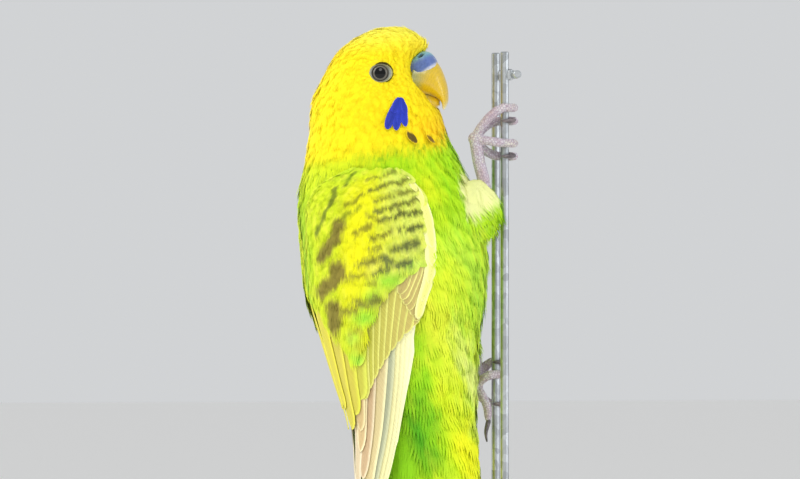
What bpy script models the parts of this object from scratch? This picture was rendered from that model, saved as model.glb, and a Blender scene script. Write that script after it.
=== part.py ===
"""A still, life-size budgerigar that clings to two cage wires, on a plain display stand.

The scene is in metres and the named sizes are in millimetres. +X is the bird's front, where the
wires stand, +Y is its left side and +Z is up. The origin is the middle of the base's underside.
"""
import math

import bmesh
import bpy
from mathutils import Vector

MM = 0.001
GAP = 0.3                   # clear gap between two solids that meet
WELD = 0.00001              # metres below which two cut corners are one
SHARP_EDGE = math.radians(50.0)
TUBE_END = 0.4              # how far a tube's blunt end bulges, in radii

# Stand and cut cage wires
BASE_RADIUS = 54.0
BASE_HEIGHT = 10.0
BASE_BEVEL = 1.6
ROD_RADIUS = 2.4
ROD_TOP_Z = 95.0
SOCKET_DEPTH = 7.0
WIRE_RADIUS = 1.1
WIRE_X = 26.5
WIRE_PITCH = 12.5
WIRE_TOP_Z = 219.0
CROSS_WIRE_HEIGHTS = (213.0, 101.0)
CROSS_WIRE_HALF = 11.0
BEVEL_MIDDLE = 0.3          # where the base's rounded rim has its middle point
BASE_SIDES = 40
BAR_SIDES = 16
SOCKET_SIDES = 12

# Body: heights are given as depths below the crown
CROWN_Z = 226.0
HEAD_END = 26.0             # depth of the cut between head and neck
NECK_END = 34.2             # depth of the cut between neck and trunk
TRUNK_END = 122.0           # depth of the cut between trunk and tail
HEAD_AXIS_X = -7.0
HEAD_TURN = math.radians(18.0)
TURN_FROM = 34.0            # the neck starts to turn at this depth
TURN_TO = 19.0              # and the head has its full turn from here up
CROWN_AHEAD = 0.8           # the crown's top lies this far ahead of the first section's middle
HEAD_ROWS = (0.2, 0.9, 2.2, 4.0, 6.2, 7.8, 9.6, 11.8, 14.2, 16.6, 19.0, 22.0, HEAD_END)
NECK_ROWS = (HEAD_END + GAP, 28.9, 31.5, NECK_END)
BODY_COLUMNS = 32

# Depth, back x, x of the widest place, front x, half width
BODY_STATIONS = (
    (0.8, -7.6, -2.6, 3.2, 5.2),
    (2.9, -11.9, -3.6, 6.0, 9.2),
    (6.2, -16.2, -5.2, 8.0, 11.7),
    (9.4, -18.5, -6.4, 5.0, 12.7),
    (13.3, -20.6, -7.0, 5.0, 13.4),
    (17.5, -22.8, -7.0, 7.4, 14.1),
    (21.8, -23.8, -6.6, 10.8, 14.9),
    (27.8, -24.5, -6.0, 12.9, 16.2),
    (36.0, -26.0, -5.0, 17.0, 19.2),
    (44.5, -27.5, -4.0, 20.4, 22.3),
    (57.0, -26.4, -3.0, 23.2, 23.8),
    (70.0, -24.6, -3.0, 22.9, 23.8),
    (81.0, -18.8, -2.5, 21.4, 19.6),
    (92.0, -13.4, -0.5, 20.7, 16.6),
    (102.0, -8.8, 2.5, 20.5, 13.3),
    (112.0, -6.4, 6.0, 20.8, 10.9),
    (122.0, -4.4, 8.0, 21.4, 9.9),
)
# Depth, back x, x of the widest place, half width of the surface that the wings lie on
WING_GUIDE = (
    (36.0, -26.0, -5.0, 19.2),
    (44.5, -27.5, -4.0, 22.3),
    (57.0, -26.4, -3.0, 23.8),
    (70.0, -24.6, -3.0, 23.8),
    (81.0, -21.4, -2.5, 22.2),
    (92.0, -17.9, -1.5, 19.3),
    (105.0, -13.9, 0.0, 15.0),
    (118.0, -12.9, 0.0, 11.5),
    (128.0, -11.0, 0.0, 8.6),
)
# Depth, x of the front edge, back edge in degrees from the middle of the back, thickness
WING_STATIONS = (
    (36.8, -3.5, 62.0, 1.7),
    (42.5, 1.2, 30.0, 2.5),
    (51.0, 4.4, 16.0, 2.9),
    (63.5, 5.2, 10.0, 2.9),
    (72.8, 2.4, 8.0, 2.7),
    (86.0, 0.0, 7.0, 2.2),
    (99.6, -2.2, 7.0, 1.8),
    (116.0, -5.0, 8.0, 1.4),
    (127.4, -9.3, 14.0, 1.0),
)
WING_TOP = 36.8
WING_TIP = 127.4
WING_EDGE = 0.8             # thickness at the wing's edges
WING_COLUMNS = 8
BELLY_COLUMNS = 7
MANTLE_COLUMNS = 2
WING_SEAM = math.radians(2.0)   # the trunk's own surface starts this far from the wing's edge
BED_SLACK = 0.05            # the wing's bed lies this much deeper than the clear gap
STEP_RISE = 0.7             # length of the short rows that make a step
ROW_CLEARANCE = 1.0         # rows nearer than this to a step are left out
PRIMARY_TIPS = 5
PRIMARY_TIPS_FROM = 104.0   # depth of the first visible flight feather tip
PRIMARY_STEP = math.radians(9.0)
PRIMARY_PITCH = (WING_TIP - PRIMARY_TIPS_FROM) / PRIMARY_TIPS
TIP_TOLERANCE = 0.01
TRUNK_LEAVES_WINGS = (74.0, 92.0)
BODY_ROWS = 15              # rings of the trunk, which the wings share

# Tail: heights above the base's underside
TAIL_TIP_Z = 21.0
TAIL_LENGTHS = (83.0, 68.0, 57.0, 48.0, 41.0, 35.0)   # middle pair to outer pair
TAIL_FEATHER_HALF = 4.1
TAIL_FEATHER_PITCH = 1.1
TAIL_POINT = 15.0
TAIL_BLEND_Z = 90.0         # above this the tail widens to meet the trunk
TAIL_ROOT_ROWS = (98.0, 91.0, 84.0)
TAIL_END_ROWS = (31.0, 26.0, 22.6)
TAIL_STEP = 0.5             # half the height of the row where a shorter feather ends
TAIL_COLUMNS = 16
# Height, dorsal x, ventral x
TAIL_PROFILE = (
    (103.7, -4.2, 21.3),
    (94.0, 2.4, 20.2),
    (82.0, 8.6, 18.6),
    (64.0, 12.0, 16.9),
    (42.0, 14.3, 16.8),
    (21.0, 16.2, 17.3),
)

# Head-fixed places: forward of the head's axis, left of it, height
EYE_CENTRE = (3.6, 10.3, 213.2)
EYE_RADIUS = 3.1
EYE_SIDES = 12
CERE_CENTRE = (13.0, 0.0, 215.1)
CERE_RADII = (3.7, 5.0, 3.5)
CERE_PITCH = math.radians(-33.0)
CERE_SIDES = 16
BEAK_SIDES = 12
BEAK_STEPS = 9
BEAK_CULMEN = ((11.5, 217.0), (16.4, 216.4), (19.0, 211.4), (19.6, 206.6), (18.6, 203.8))
BEAK_TOMIUM = ((10.0, 208.4), (12.6, 208.0), (15.6, 207.3), (17.7, 206.0), (18.3, 203.9))
BEAK_HALF_WIDTH = 5.0
BEAK_TIP_HALF_WIDTH = 0.5
BEAK_TAPER = 1.6
LOWER_BEAK_TOP = ((11.0, 208.4), (14.6, 208.0), (17.3, 206.8))
LOWER_BEAK_BOTTOM = ((11.0, 202.8), (14.8, 203.0), (17.4, 205.0))
LOWER_BEAK_HALF_WIDTH = 3.6
LOWER_BEAK_TIP_HALF_WIDTH = 1.2
LOWER_BEAK_STEPS = 6

# Legs
TARSUS_RADIUS = 1.7
TARSUS_STEPS = 6
TARSUS_SIDES = 8
THIGH_SIDES = 16
BALL_RADII = (2.0, 1.9, 1.8)
BALL_SIDES = 10
TOE_RADIUS = 1.2
TOE_SIDES = 7
TOE_STEPS = 9
TOE_ROOT = 1.12             # toe thickness at its root, in toe radii
TOE_TAPER = 0.2             # and how much of it the toe loses along its length
TOE_JOINTS = 3
TOE_JOINT_SWELL = 0.06
TOE_END = 0.6
CLAW_RADIUS = 0.75
CLAW_TIP_RADIUS = 0.16
CLAW_SIDES = 6
CLAW_STEPS = 5
CLAW_BULGE = 0.35           # how far the claw's middle stands off its wire
CLAW_GAP = math.radians(14.0)
TOE_WRAP = math.radians(150.0)
CLAW_WRAP = math.radians(78.0)
WRAP_START = math.radians(110.0)
WRAP_STEPS = 4
STRAIGHT_TOE_STEPS = 8
STRAIGHT_CLAW_STEPS = 4


# Materials

def make_material(name, colour, roughness, metallic=0.0):
    """A plain Principled material from an sRGB hex colour."""
    material = bpy.data.materials.new(name)
    material.use_nodes = True
    channels = [int(colour[i:i + 2], 16) / 255 for i in (1, 3, 5)]
    linear = [c / 12.92 if c <= 0.04045 else ((c + 0.055) / 1.055) ** 2.4 for c in channels]
    shader = material.node_tree.nodes["Principled BSDF"]
    shader.inputs["Base Color"].default_value = (*linear, 1.0)
    shader.inputs["Roughness"].default_value = roughness
    shader.inputs["Metallic"].default_value = metallic
    material.diffuse_color = (*linear, 1.0)
    return material


# Mesh tools

def solid_object(name, vertices, faces, material):
    """One closed mesh object from vertices in millimetres, with its normals outward."""
    mesh = bpy.data.meshes.new(name)
    mesh.from_pydata([Vector(v) * MM for v in vertices], [], faces)
    work = bmesh.new()
    work.from_mesh(mesh)
    bmesh.ops.recalc_face_normals(work, faces=work.faces)
    work.to_mesh(mesh)
    work.free()
    mesh.shade_smooth()
    mesh.set_sharp_from_angle(angle=SHARP_EDGE)
    mesh.materials.append(material)
    body = bpy.data.objects.new(name, mesh)
    bpy.context.scene.collection.objects.link(body)
    return body


def loft(name, rings, material, start=None, end=None):
    """A closed skin over rings of equal count; a start or end point closes it as a pole."""
    count = len(rings[0])
    vertices = [p for ring in rings for p in ring]
    faces = []
    for row in range(len(rings) - 1):
        for column in range(count):
            after = (column + 1) % count
            low = row * count
            high = low + count
            faces.append((low + column, low + after, high + after, high + column))
    ends = ((rings[0], 0, start), (rings[-1], (len(rings) - 1) * count, end))
    for ring, first, pole in ends:
        centre = pole if pole is not None else sum((Vector(p) for p in ring), Vector()) / count
        vertices.append(centre)
        hub = len(vertices) - 1
        for column in range(count):
            faces.append((hub, first + (column + 1) % count, first + column))
    return solid_object(name, vertices, faces, material)


def shell(name, outer, inner, material):
    """A thin closed solid between two grids of points of the same size."""
    rows = len(outer)
    columns = len(outer[0])
    vertices = [p for row in outer for p in row] + [p for row in inner for p in row]
    back = rows * columns
    faces = []
    for r in range(rows - 1):
        for c in range(columns - 1):
            a = r * columns + c
            corner = (a, a + 1, a + columns + 1, a + columns)
            faces.append(corner)
            faces.append(tuple(back + i for i in reversed(corner)))
    rim = [c for c in range(columns)]
    rim += [r * columns + columns - 1 for r in range(1, rows)]
    rim += [(rows - 1) * columns + c for c in range(columns - 2, -1, -1)]
    rim += [r * columns for r in range(rows - 2, 0, -1)]
    for i, a in enumerate(rim):
        b = rim[(i + 1) % len(rim)]
        faces.append((a, back + a, back + b, b))
    return solid_object(name, vertices, faces, material)


def smooth_step(value):
    value = min(1.0, max(0.0, value))
    return value * value * (3.0 - 2.0 * value)


def station(table, key):
    """Values of a table at a key, on a smooth curve through its rows."""
    rows = sorted(table)
    key = min(rows[-1][0], max(rows[0][0], key))
    i = 0
    while i < len(rows) - 2 and rows[i + 1][0] < key:
        i += 1
    low, high = rows[i], rows[i + 1]
    before = rows[max(0, i - 1)]
    after = rows[min(len(rows) - 1, i + 2)]
    span = high[0] - low[0]
    t = (key - low[0]) / span
    values = []
    for k in range(1, len(low)):
        slope_low = (high[k] - before[k]) / (high[0] - before[0]) * span
        slope_high = (after[k] - low[k]) / (after[0] - low[0]) * span
        values.append((2 * t ** 3 - 3 * t ** 2 + 1) * low[k] + (t ** 3 - 2 * t ** 2 + t) * slope_low
                      + (3 * t ** 2 - 2 * t ** 3) * high[k] + (t ** 3 - t ** 2) * slope_high)
    return values


def curve_through(points, steps):
    """Evenly counted points on a smooth curve through the given ones."""
    points = [Vector(p) for p in points]
    ahead = [points[0] * 2 - points[1]] + points + [points[-1] * 2 - points[-2]]
    result = []
    for k in range(steps + 1):
        place = k / steps * (len(points) - 1)
        i = min(int(place), len(points) - 2)
        t = place - i
        a, b, c, d = ahead[i:i + 4]
        result.append(0.5 * (2 * b + (c - a) * t + (2 * a - 5 * b + 4 * c - d) * t ** 2
                             + (3 * b - a - 3 * c + d) * t ** 3))
    return result


def tube(name, path, radii, sides, material):
    """A round tube along a path with a radius at each point and blunt ends."""
    rings = []
    across = None
    for i, centre in enumerate(path):
        along = (path[min(i + 1, len(path) - 1)] - path[max(i - 1, 0)]).normalized()
        if across is None:
            across = along.orthogonal().normalized()
        across = (across - along * across.dot(along)).normalized()
        other = along.cross(across)
        ring = []
        for k in range(sides):
            angle = math.tau * k / sides
            ring.append(centre + radii[i] * (math.cos(angle) * across + math.sin(angle) * other))
        rings.append(ring)
    first = path[0] + (path[0] - path[1]).normalized() * radii[0] * TUBE_END
    last = path[-1] + (path[-1] - path[-2]).normalized() * radii[-1] * TUBE_END
    return loft(name, rings, material, first, last)


def ellipsoid(name, centre, radii, pitch, sides, material, place=None):
    """An ellipsoid tilted about its left-right axis; place maps its points to the scene."""
    rings = []
    layers = sides // 2
    for j in range(1, layers):
        latitude = math.pi * j / layers
        ring = []
        for k in range(sides):
            angle = math.tau * k / sides
            local = (radii[0] * math.sin(latitude) * math.cos(angle),
                     radii[1] * math.sin(latitude) * math.sin(angle),
                     radii[2] * math.cos(latitude))
            ring.append(tilted(local, centre, pitch))
        rings.append(ring)
    poles = [tilted((0.0, 0.0, side * radii[2]), centre, pitch) for side in (1, -1)]
    if place:
        rings = [[place(*p) for p in ring] for ring in rings]
        poles = [place(*p) for p in poles]
    return loft(name, rings, material, poles[0], poles[1])


def tilted(local, centre, pitch):
    x = local[0] * math.cos(pitch) + local[2] * math.sin(pitch)
    z = local[2] * math.cos(pitch) - local[0] * math.sin(pitch)
    return Vector((centre[0] + x, centre[1] + local[1], centre[2] + z))


def boolean(target, tools, operation):
    """Cut or join with exact Booleans, and drop the tools."""
    for tool in tools:
        modifier = target.modifiers.new(tool.name, 'BOOLEAN')
        modifier.operation = operation
        modifier.solver = 'EXACT'
        modifier.object = tool
    bpy.context.view_layer.update()
    evaluated = target.evaluated_get(bpy.context.evaluated_depsgraph_get())
    mesh = bpy.data.meshes.new_from_object(evaluated)
    material = target.data.materials[0]
    target.modifiers.clear()
    target.data = mesh
    work = bmesh.new()
    work.from_mesh(mesh)
    bmesh.ops.remove_doubles(work, verts=work.verts, dist=WELD)
    bmesh.ops.dissolve_degenerate(work, edges=work.edges, dist=WELD)
    work.to_mesh(mesh)
    work.free()
    mesh.materials.clear()
    mesh.materials.append(material)
    for face in mesh.polygons:
        face.material_index = 0
    mesh.shade_smooth()
    mesh.set_sharp_from_angle(angle=SHARP_EDGE)
    for tool in tools:
        bpy.data.objects.remove(tool, do_unlink=True)


# Body surface

def depth_turn(depth):
    return HEAD_TURN * smooth_step((TURN_FROM - depth) / (TURN_FROM - TURN_TO))


def turn_head(x, y, z, angle):
    """Turn a point about the head's upright axis, towards the bird's right."""
    forward = x - HEAD_AXIS_X
    return Vector((HEAD_AXIS_X + forward * math.cos(angle) + y * math.sin(angle),
                   y * math.cos(angle) - forward * math.sin(angle), z))


def head_place(forward, left, height):
    """Scene point of a place fixed to the turned head."""
    return turn_head(HEAD_AXIS_X + forward, left, height, HEAD_TURN)


def oval_point(depth, angle, side, back, middle, front, half_width):
    """Point of a body section: angle 0 is the front, 90 degrees the side, 180 the back."""
    reach = front - middle if math.cos(angle) > 0 else middle - back
    x = middle + reach * math.cos(angle)
    y = side * half_width * math.sin(angle)
    return Vector((x, y, CROWN_Z - depth))


def body_point(depth, angle, side):
    if depth < BODY_STATIONS[0][0]:
        first = BODY_STATIONS[0]
        share = math.sqrt(depth / first[0])
        top_x = first[2] + CROWN_AHEAD
        values = (top_x + (first[1] - top_x) * share, top_x + (first[2] - top_x) * share,
                  top_x + (first[3] - top_x) * share, first[4] * share)
        return oval_point(depth, angle, side, *values)
    return oval_point(depth, angle, side, *station(BODY_STATIONS, depth))


def guide_point(depth, angle, side, inset):
    """Point on the surface the wings lie on, moved inward by inset."""
    back, middle, half_width = station(WING_GUIDE, depth)
    front = station(BODY_STATIONS, min(depth, TRUNK_END))[2]
    point = oval_point(depth, angle, side, back, middle, front, half_width)
    inward = Vector((middle, 0.0, point.z)) - point
    return point + inward.normalized() * inset


def wing_edges(depth):
    """Section angles of the wing's front and back edges."""
    front_x, back_degrees, _ = station(WING_STATIONS, depth)
    back, middle, _ = station(WING_GUIDE, depth)
    front = station(BODY_STATIONS, min(depth, TRUNK_END))[2]
    if front_x > middle:
        front_angle = math.pi / 2 - math.asin((front_x - middle) / (front - middle))
    else:
        front_angle = math.pi / 2 + math.asin((middle - front_x) / (middle - back))
    return front_angle, math.pi - math.radians(back_degrees)


def primary_notch(depth):
    """How far the back edge is set in between two flight feather tips."""
    past = (depth - PRIMARY_TIPS_FROM) / PRIMARY_PITCH
    if past <= 0.0 or math.isclose(past, round(past), abs_tol=TIP_TOLERANCE):
        return 0.0
    return PRIMARY_STEP * (1.0 - past % 1.0)


def wing_thickness(depth, share):
    middle = station(WING_STATIONS, depth)[2]
    return WING_EDGE + (middle - WING_EDGE) * math.sin(math.pi * share) ** 0.7


# Head, neck and trunk

def body_loft(name, depths, material, pole=False):
    rings = []
    for depth in depths:
        ring = []
        for k in range(BODY_COLUMNS):
            p = body_point(depth, math.tau * k / BODY_COLUMNS, 1)
            ring.append(turn_head(p.x, p.y, p.z, depth_turn(depth)))
        rings.append(ring)
    top = None
    if pole:
        crown = body_point(0.0, 0.0, 1)
        top = turn_head(crown.x, crown.y, crown.z, HEAD_TURN)
    return loft(name, rings, material, top)


def build_head(materials):
    head = body_loft("head", HEAD_ROWS, materials["head"], pole=True)
    cutters = [beak_upper_blank("cut_beak", GAP, materials["beak"]),
               beak_lower_blank("cut_lower_beak", GAP, materials["beak"]),
               cere_blank("cut_cere", GAP, materials["cere"])]
    for side in (-1, 1):
        cutters.append(eye_ball("cut_eye_%d" % side, side, GAP, materials["eye"]))
    boolean(head, cutters, 'DIFFERENCE')


def build_neck(materials):
    body_loft("neck", NECK_ROWS, materials["neck"])


def trunk_columns(depth):
    """Section angles round one side, lined up with the wing's edges, and their wing shares."""
    wing_depth = max(WING_TOP, depth)
    front_edge, back_edge = wing_edges(wing_depth)
    belly_end = front_edge - WING_SEAM
    mantle_start = back_edge + WING_SEAM
    angles = [(belly_end * k / (BELLY_COLUMNS - 1), None) for k in range(BELLY_COLUMNS)]
    angles += [(front_edge + (back_edge - front_edge) * k / WING_COLUMNS, k / WING_COLUMNS)
               for k in range(WING_COLUMNS + 1)]
    angles += [(mantle_start + (math.pi - mantle_start) * k / MANTLE_COLUMNS, None)
               for k in range(MANTLE_COLUMNS + 1)]
    return angles


def trunk_point(depth, angle, share, side):
    own = body_point(depth, angle, side)
    if share is None or depth < WING_TOP:
        return own
    bed = guide_point(depth, angle, side, wing_thickness(depth, share) + GAP + BED_SLACK)
    near, far = TRUNK_LEAVES_WINGS
    return own.lerp(bed, 1.0 - smooth_step((depth - near) / (far - near)))


def build_trunk(materials):
    depths = [NECK_END + GAP, WING_TOP - STEP_RISE]
    depths += [WING_TOP + (TRUNK_END - WING_TOP) * k / BODY_ROWS for k in range(BODY_ROWS + 1)]
    rings = []
    for depth in depths:
        columns = trunk_columns(depth)
        right = [trunk_point(depth, a, s, -1) for a, s in columns]
        left = [trunk_point(depth, a, s, 1) for a, s in columns[1:-1]]
        rings.append(right + left[::-1])
    trunk = loft("trunk", rings, materials["trunk"])
    cutters = [thigh_blank("cut_thigh_" + leg["side"], leg, GAP, materials["thigh"]) for leg in LEGS]
    boolean(trunk, cutters, 'DIFFERENCE')


# Wings and tail

def build_wing(side, name, material):
    """A wing lies in the bed that the trunk leaves for it, and runs on past it to its tips."""
    depths = [WING_TOP + (TRUNK_END - WING_TOP) * k / BODY_ROWS for k in range(BODY_ROWS)]
    depths = [d for d in depths if d < PRIMARY_TIPS_FROM - ROW_CLEARANCE]
    for tip in range(PRIMARY_TIPS):
        start = PRIMARY_TIPS_FROM + PRIMARY_PITCH * tip
        depths += [start, start + STEP_RISE]
    depths.append(WING_TIP)
    outer = []
    inner = []
    for depth in depths:
        front_edge, back_edge = wing_edges(depth)
        back_edge -= primary_notch(depth)
        outer_row = []
        inner_row = []
        for k in range(WING_COLUMNS + 1):
            share = k / WING_COLUMNS
            angle = front_edge + (back_edge - front_edge) * share
            outer_row.append(guide_point(depth, angle, side, 0.0))
            inner_row.append(guide_point(depth, angle, side, wing_thickness(depth, share)))
        outer.append(outer_row)
        inner.append(inner_row)
    shell(name, outer, inner, material)


def tail_half_width(height):
    """Outline of the stacked, graduated feathers at one height."""
    widest = 0.0
    for pair, length in enumerate(TAIL_LENGTHS):
        tip = TAIL_TIP_Z + TAIL_LENGTHS[0] - length
        if height < tip:
            continue
        shape = min(1.0, (height - tip) / TAIL_POINT) ** 0.5
        widest = max(widest, TAIL_FEATHER_PITCH * pair * shape + TAIL_FEATHER_HALF * shape)
    return widest


def build_tail(materials):
    top = CROWN_Z - TRUNK_END - GAP
    heights = [top, *TAIL_ROOT_ROWS]
    for length in TAIL_LENGTHS[:0:-1]:
        tip = TAIL_TIP_Z + TAIL_LENGTHS[0] - length
        heights += [tip + TAIL_STEP, tip - TAIL_STEP]
    heights += TAIL_END_ROWS
    heights = sorted(set(heights), reverse=True)
    rings = []
    for height in heights:
        back, front = station(TAIL_PROFILE, height)
        half = tail_half_width(height)
        if height > TAIL_BLEND_Z:
            end_half = station(BODY_STATIONS, TRUNK_END)[3]
            half += (end_half - half) * smooth_step((height - TAIL_BLEND_Z) / (top - TAIL_BLEND_Z))
        ring = []
        for k in range(TAIL_COLUMNS):
            angle = math.tau * k / TAIL_COLUMNS
            ring.append(Vector(((back + front) / 2 + (front - back) / 2 * math.cos(angle),
                                half * math.sin(angle), height)))
        rings.append(ring)
    back, front = station(TAIL_PROFILE, TAIL_TIP_Z)
    loft("tail", rings, materials["tail"], None, Vector(((back + front) / 2, 0.0, TAIL_TIP_Z)))


# Beak, cere and eyes

def beak_section(top, bottom, half_width):
    """A ring between a top and a bottom point, both given as forward and height."""
    centre = ((top[0] + bottom[0]) / 2, (top[1] + bottom[1]) / 2)
    reach = ((top[0] - bottom[0]) / 2, (top[1] - bottom[1]) / 2)
    ring = []
    for k in range(BEAK_SIDES):
        angle = math.tau * k / BEAK_SIDES
        across = half_width * math.sin(angle)
        along = math.cos(angle)
        ring.append(head_place(centre[0] + reach[0] * along, across, centre[1] + reach[1] * along))
    return ring


def grown_outline(top, bottom, grow):
    """Move a top and a bottom line apart by grow on each side."""
    tops = []
    bottoms = []
    for a, b in zip(top, bottom):
        away = Vector((a.x - b.x, a.y - b.y)).normalized() * grow
        tops.append((a.x + away.x, a.y + away.y))
        bottoms.append((b.x - away.x, b.y - away.y))
    return tops, bottoms


def flat_curve(points, steps):
    return curve_through([(p[0], p[1], 0.0) for p in points], steps)


def beak_upper_blank(name, grow, material):
    culmen = flat_curve(BEAK_CULMEN, BEAK_STEPS)
    tomium = flat_curve(BEAK_TOMIUM, BEAK_STEPS)
    tops, bottoms = grown_outline(culmen, tomium, grow)
    rings = []
    for k in range(BEAK_STEPS + 1):
        t = k / BEAK_STEPS
        half = BEAK_TIP_HALF_WIDTH + (BEAK_HALF_WIDTH - BEAK_TIP_HALF_WIDTH) * math.sqrt(1.0 - t ** BEAK_TAPER)
        rings.append(beak_section(tops[k], bottoms[k], half + grow))
    return loft(name, rings, material)


def beak_lower_blank(name, grow, material):
    upper = flat_curve(LOWER_BEAK_TOP, LOWER_BEAK_STEPS)
    lower = flat_curve(LOWER_BEAK_BOTTOM, LOWER_BEAK_STEPS)
    tops, bottoms = grown_outline(upper, lower, grow)
    rings = []
    tip = LOWER_BEAK_TIP_HALF_WIDTH
    for k in range(LOWER_BEAK_STEPS + 1):
        t = k / LOWER_BEAK_STEPS
        half = tip + (LOWER_BEAK_HALF_WIDTH - tip) * math.sqrt(1.0 - t ** 2)
        rings.append(beak_section(tops[k], bottoms[k], half + grow))
    return loft(name, rings, material)


def cere_blank(name, grow, material):
    radii = [r + grow for r in CERE_RADII]
    return ellipsoid(name, CERE_CENTRE, radii, CERE_PITCH, CERE_SIDES, material, head_place)


def eye_ball(name, side, grow, material):
    forward, left, height = EYE_CENTRE
    radius = EYE_RADIUS + grow
    centre = (forward, side * left, height)
    return ellipsoid(name, centre, (radius, radius, radius), 0.0, EYE_SIDES, material, head_place)


def build_bill(materials):
    cere_blank("cere", 0.0, materials["cere"])
    upper = beak_upper_blank("beak_upper", 0.0, materials["beak"])
    boolean(upper, [cere_blank("cut_cere", GAP, materials["cere"])], 'DIFFERENCE')
    lower = beak_lower_blank("beak_lower", 0.0, materials["beak"])
    boolean(lower, [beak_upper_blank("cut_beak", GAP, materials["beak"])], 'DIFFERENCE')


# Legs: the tarsus from the thigh to the ball, and each toe on to its wire

RIGHT_LEG = {
    "side": "right",
    "wire_y": -WIRE_PITCH / 2,
    "thigh": (17.7, -8.6, 180.2),
    "thigh_radii": (5.5, 5.7, 7.0),
    "thigh_pitch": math.radians(20.0),
    "tarsus": ((19.6, -8.0, 180.6), (21.0, -7.5, 184.0), (19.6, -7.1, 190.0), (18.6, -7.0, 196.4)),
    # Toe middle points, side of the wire, height on the wire
    "toes": (
        (((20.2, -7.9, 199.8), (23.0, -8.8, 202.9)), -1, 204.4),
        (((20.8, -5.3, 198.9), (23.4, -3.9, 200.5)), 1, 201.0),
        (((21.0, -8.3, 195.9), (23.4, -8.9, 195.5)), -1, 195.2),
        (((20.9, -5.3, 193.8), (23.3, -3.8, 192.4)), 1, 191.8),
    ),
    "straight_toe": None,
}
LEFT_LEG = {
    "side": "left",
    "wire_y": WIRE_PITCH / 2,
    "thigh": (14.6, 9.6, 147.0),
    "thigh_radii": (6.4, 6.0, 8.6),
    "thigh_pitch": math.radians(-12.0),
    "tarsus": ((18.0, 9.4, 144.6), (20.9, 8.4, 140.4), (21.5, 7.4, 136.0), (21.4, 6.9, 131.8)),
    "toes": (
        (((22.4, 8.3, 134.2), (24.0, 9.0, 136.6)), 1, 138.2),
        (((22.4, 5.2, 133.4), (24.0, 3.9, 134.6)), -1, 135.0),
        (((22.4, 8.4, 130.0), (24.0, 9.0, 128.2)), 1, 127.2),
    ),
    "straight_toe": ((22.6, 5.4, 129.6), (23.9, 4.5, 126.6), (24.1, 4.3, 122.8)),
    "straight_claw": ((24.1, 4.3, 122.2), (23.5, 4.4, 119.8), (23.9, 4.8, 117.4)),
}
LEGS = (RIGHT_LEG, LEFT_LEG)


def thigh_blank(name, leg, grow, material):
    radii = [r + grow for r in leg["thigh_radii"]]
    return ellipsoid(name, leg["thigh"], radii, leg["thigh_pitch"], THIGH_SIDES, material)


def tarsus_tube(name, leg, grow, material):
    path = curve_through(leg["tarsus"], TARSUS_STEPS)
    radii = [TARSUS_RADIUS + grow] * len(path)
    return tube(name, path, radii, TARSUS_SIDES, material)


def wire_place(leg, side, angle, radius, height):
    """Point round the leg's wire; angle runs from the side the toe arrives on."""
    around = side * angle
    return Vector((WIRE_X + radius * math.cos(around), leg["wire_y"] + radius * math.sin(around), height))


def toe_path(leg, toe):
    middles, side, height = toe
    arc = []
    wrap_radius = WIRE_RADIUS + GAP + TOE_RADIUS
    for k in range(WRAP_STEPS + 1):
        angle = WRAP_START - TOE_WRAP * k / WRAP_STEPS
        arc.append(wire_place(leg, side, angle, wrap_radius, height))
    ball = Vector(leg["tarsus"][-1])
    return curve_through([ball, *middles, *arc], TOE_STEPS)


def claw_path(leg, toe):
    _, side, height = toe
    start = WRAP_START - TOE_WRAP - CLAW_GAP
    outer = WIRE_RADIUS + GAP + CLAW_RADIUS
    inner = WIRE_RADIUS + GAP + CLAW_TIP_RADIUS
    path = []
    for k in range(CLAW_STEPS + 1):
        t = k / CLAW_STEPS
        radius = outer + (inner - outer) * t + CLAW_BULGE * math.sin(math.pi * t)
        path.append(wire_place(leg, side, start - CLAW_WRAP * t, radius, height))
    return path


def toe_radii(count):
    """Toes are thickest at their root and swell a little at each joint."""
    radii = []
    for k in range(count):
        t = k / (count - 1)
        joints = TOE_JOINT_SWELL * math.cos(t * TOE_JOINTS * math.tau)
        radii.append(TOE_RADIUS * (TOE_ROOT - TOE_TAPER * t + joints))
    radii[-1] = TOE_RADIUS * TOE_END
    return radii


def claw_radii(count):
    return [CLAW_RADIUS + (CLAW_TIP_RADIUS - CLAW_RADIUS) * k / (count - 1) for k in range(count)]


def build_leg(leg, materials):
    side = leg["side"]
    thigh = thigh_blank("thigh_" + side, leg, 0.0, materials["thigh"])
    boolean(thigh, [tarsus_tube("cut_tarsus", leg, GAP, materials["foot"])], 'DIFFERENCE')
    foot = tarsus_tube("foot_" + side, leg, 0.0, materials["foot"])
    ball = ellipsoid("ball", leg["tarsus"][-1], BALL_RADII, 0.0, BALL_SIDES, materials["foot"])
    limbs = [ball]
    paths = [toe_path(leg, toe) for toe in leg["toes"]]
    claws = [claw_path(leg, toe) for toe in leg["toes"]]
    if leg["straight_toe"]:
        paths.append(curve_through([leg["tarsus"][-1], *leg["straight_toe"]], STRAIGHT_TOE_STEPS))
        claws.append(curve_through(leg["straight_claw"], STRAIGHT_CLAW_STEPS))
    for number, path in enumerate(paths, 1):
        limbs.append(tube("toe_%d" % number, path, toe_radii(len(path)), TOE_SIDES, materials["foot"]))
    boolean(foot, limbs, 'UNION')
    for number, path in enumerate(claws, 1):
        name = "claw_%s_%d" % (side, number)
        tube(name, path, claw_radii(len(path)), CLAW_SIDES, materials["claw"])


# Wires and stand

def cylinder(name, centre, radius, length, material, sides=BAR_SIDES, axis='Z'):
    """A plain round bar, closed flat at both ends."""
    rings = []
    for end in (-0.5, 0.5):
        ring = []
        for k in range(sides):
            angle = math.tau * k / sides
            a = radius * math.cos(angle)
            b = radius * math.sin(angle)
            offset = (a, b, length * end) if axis == 'Z' else (a, length * end, b)
            ring.append(Vector(centre) + Vector(offset))
        rings.append(ring)
    return loft(name, rings, material)


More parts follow.
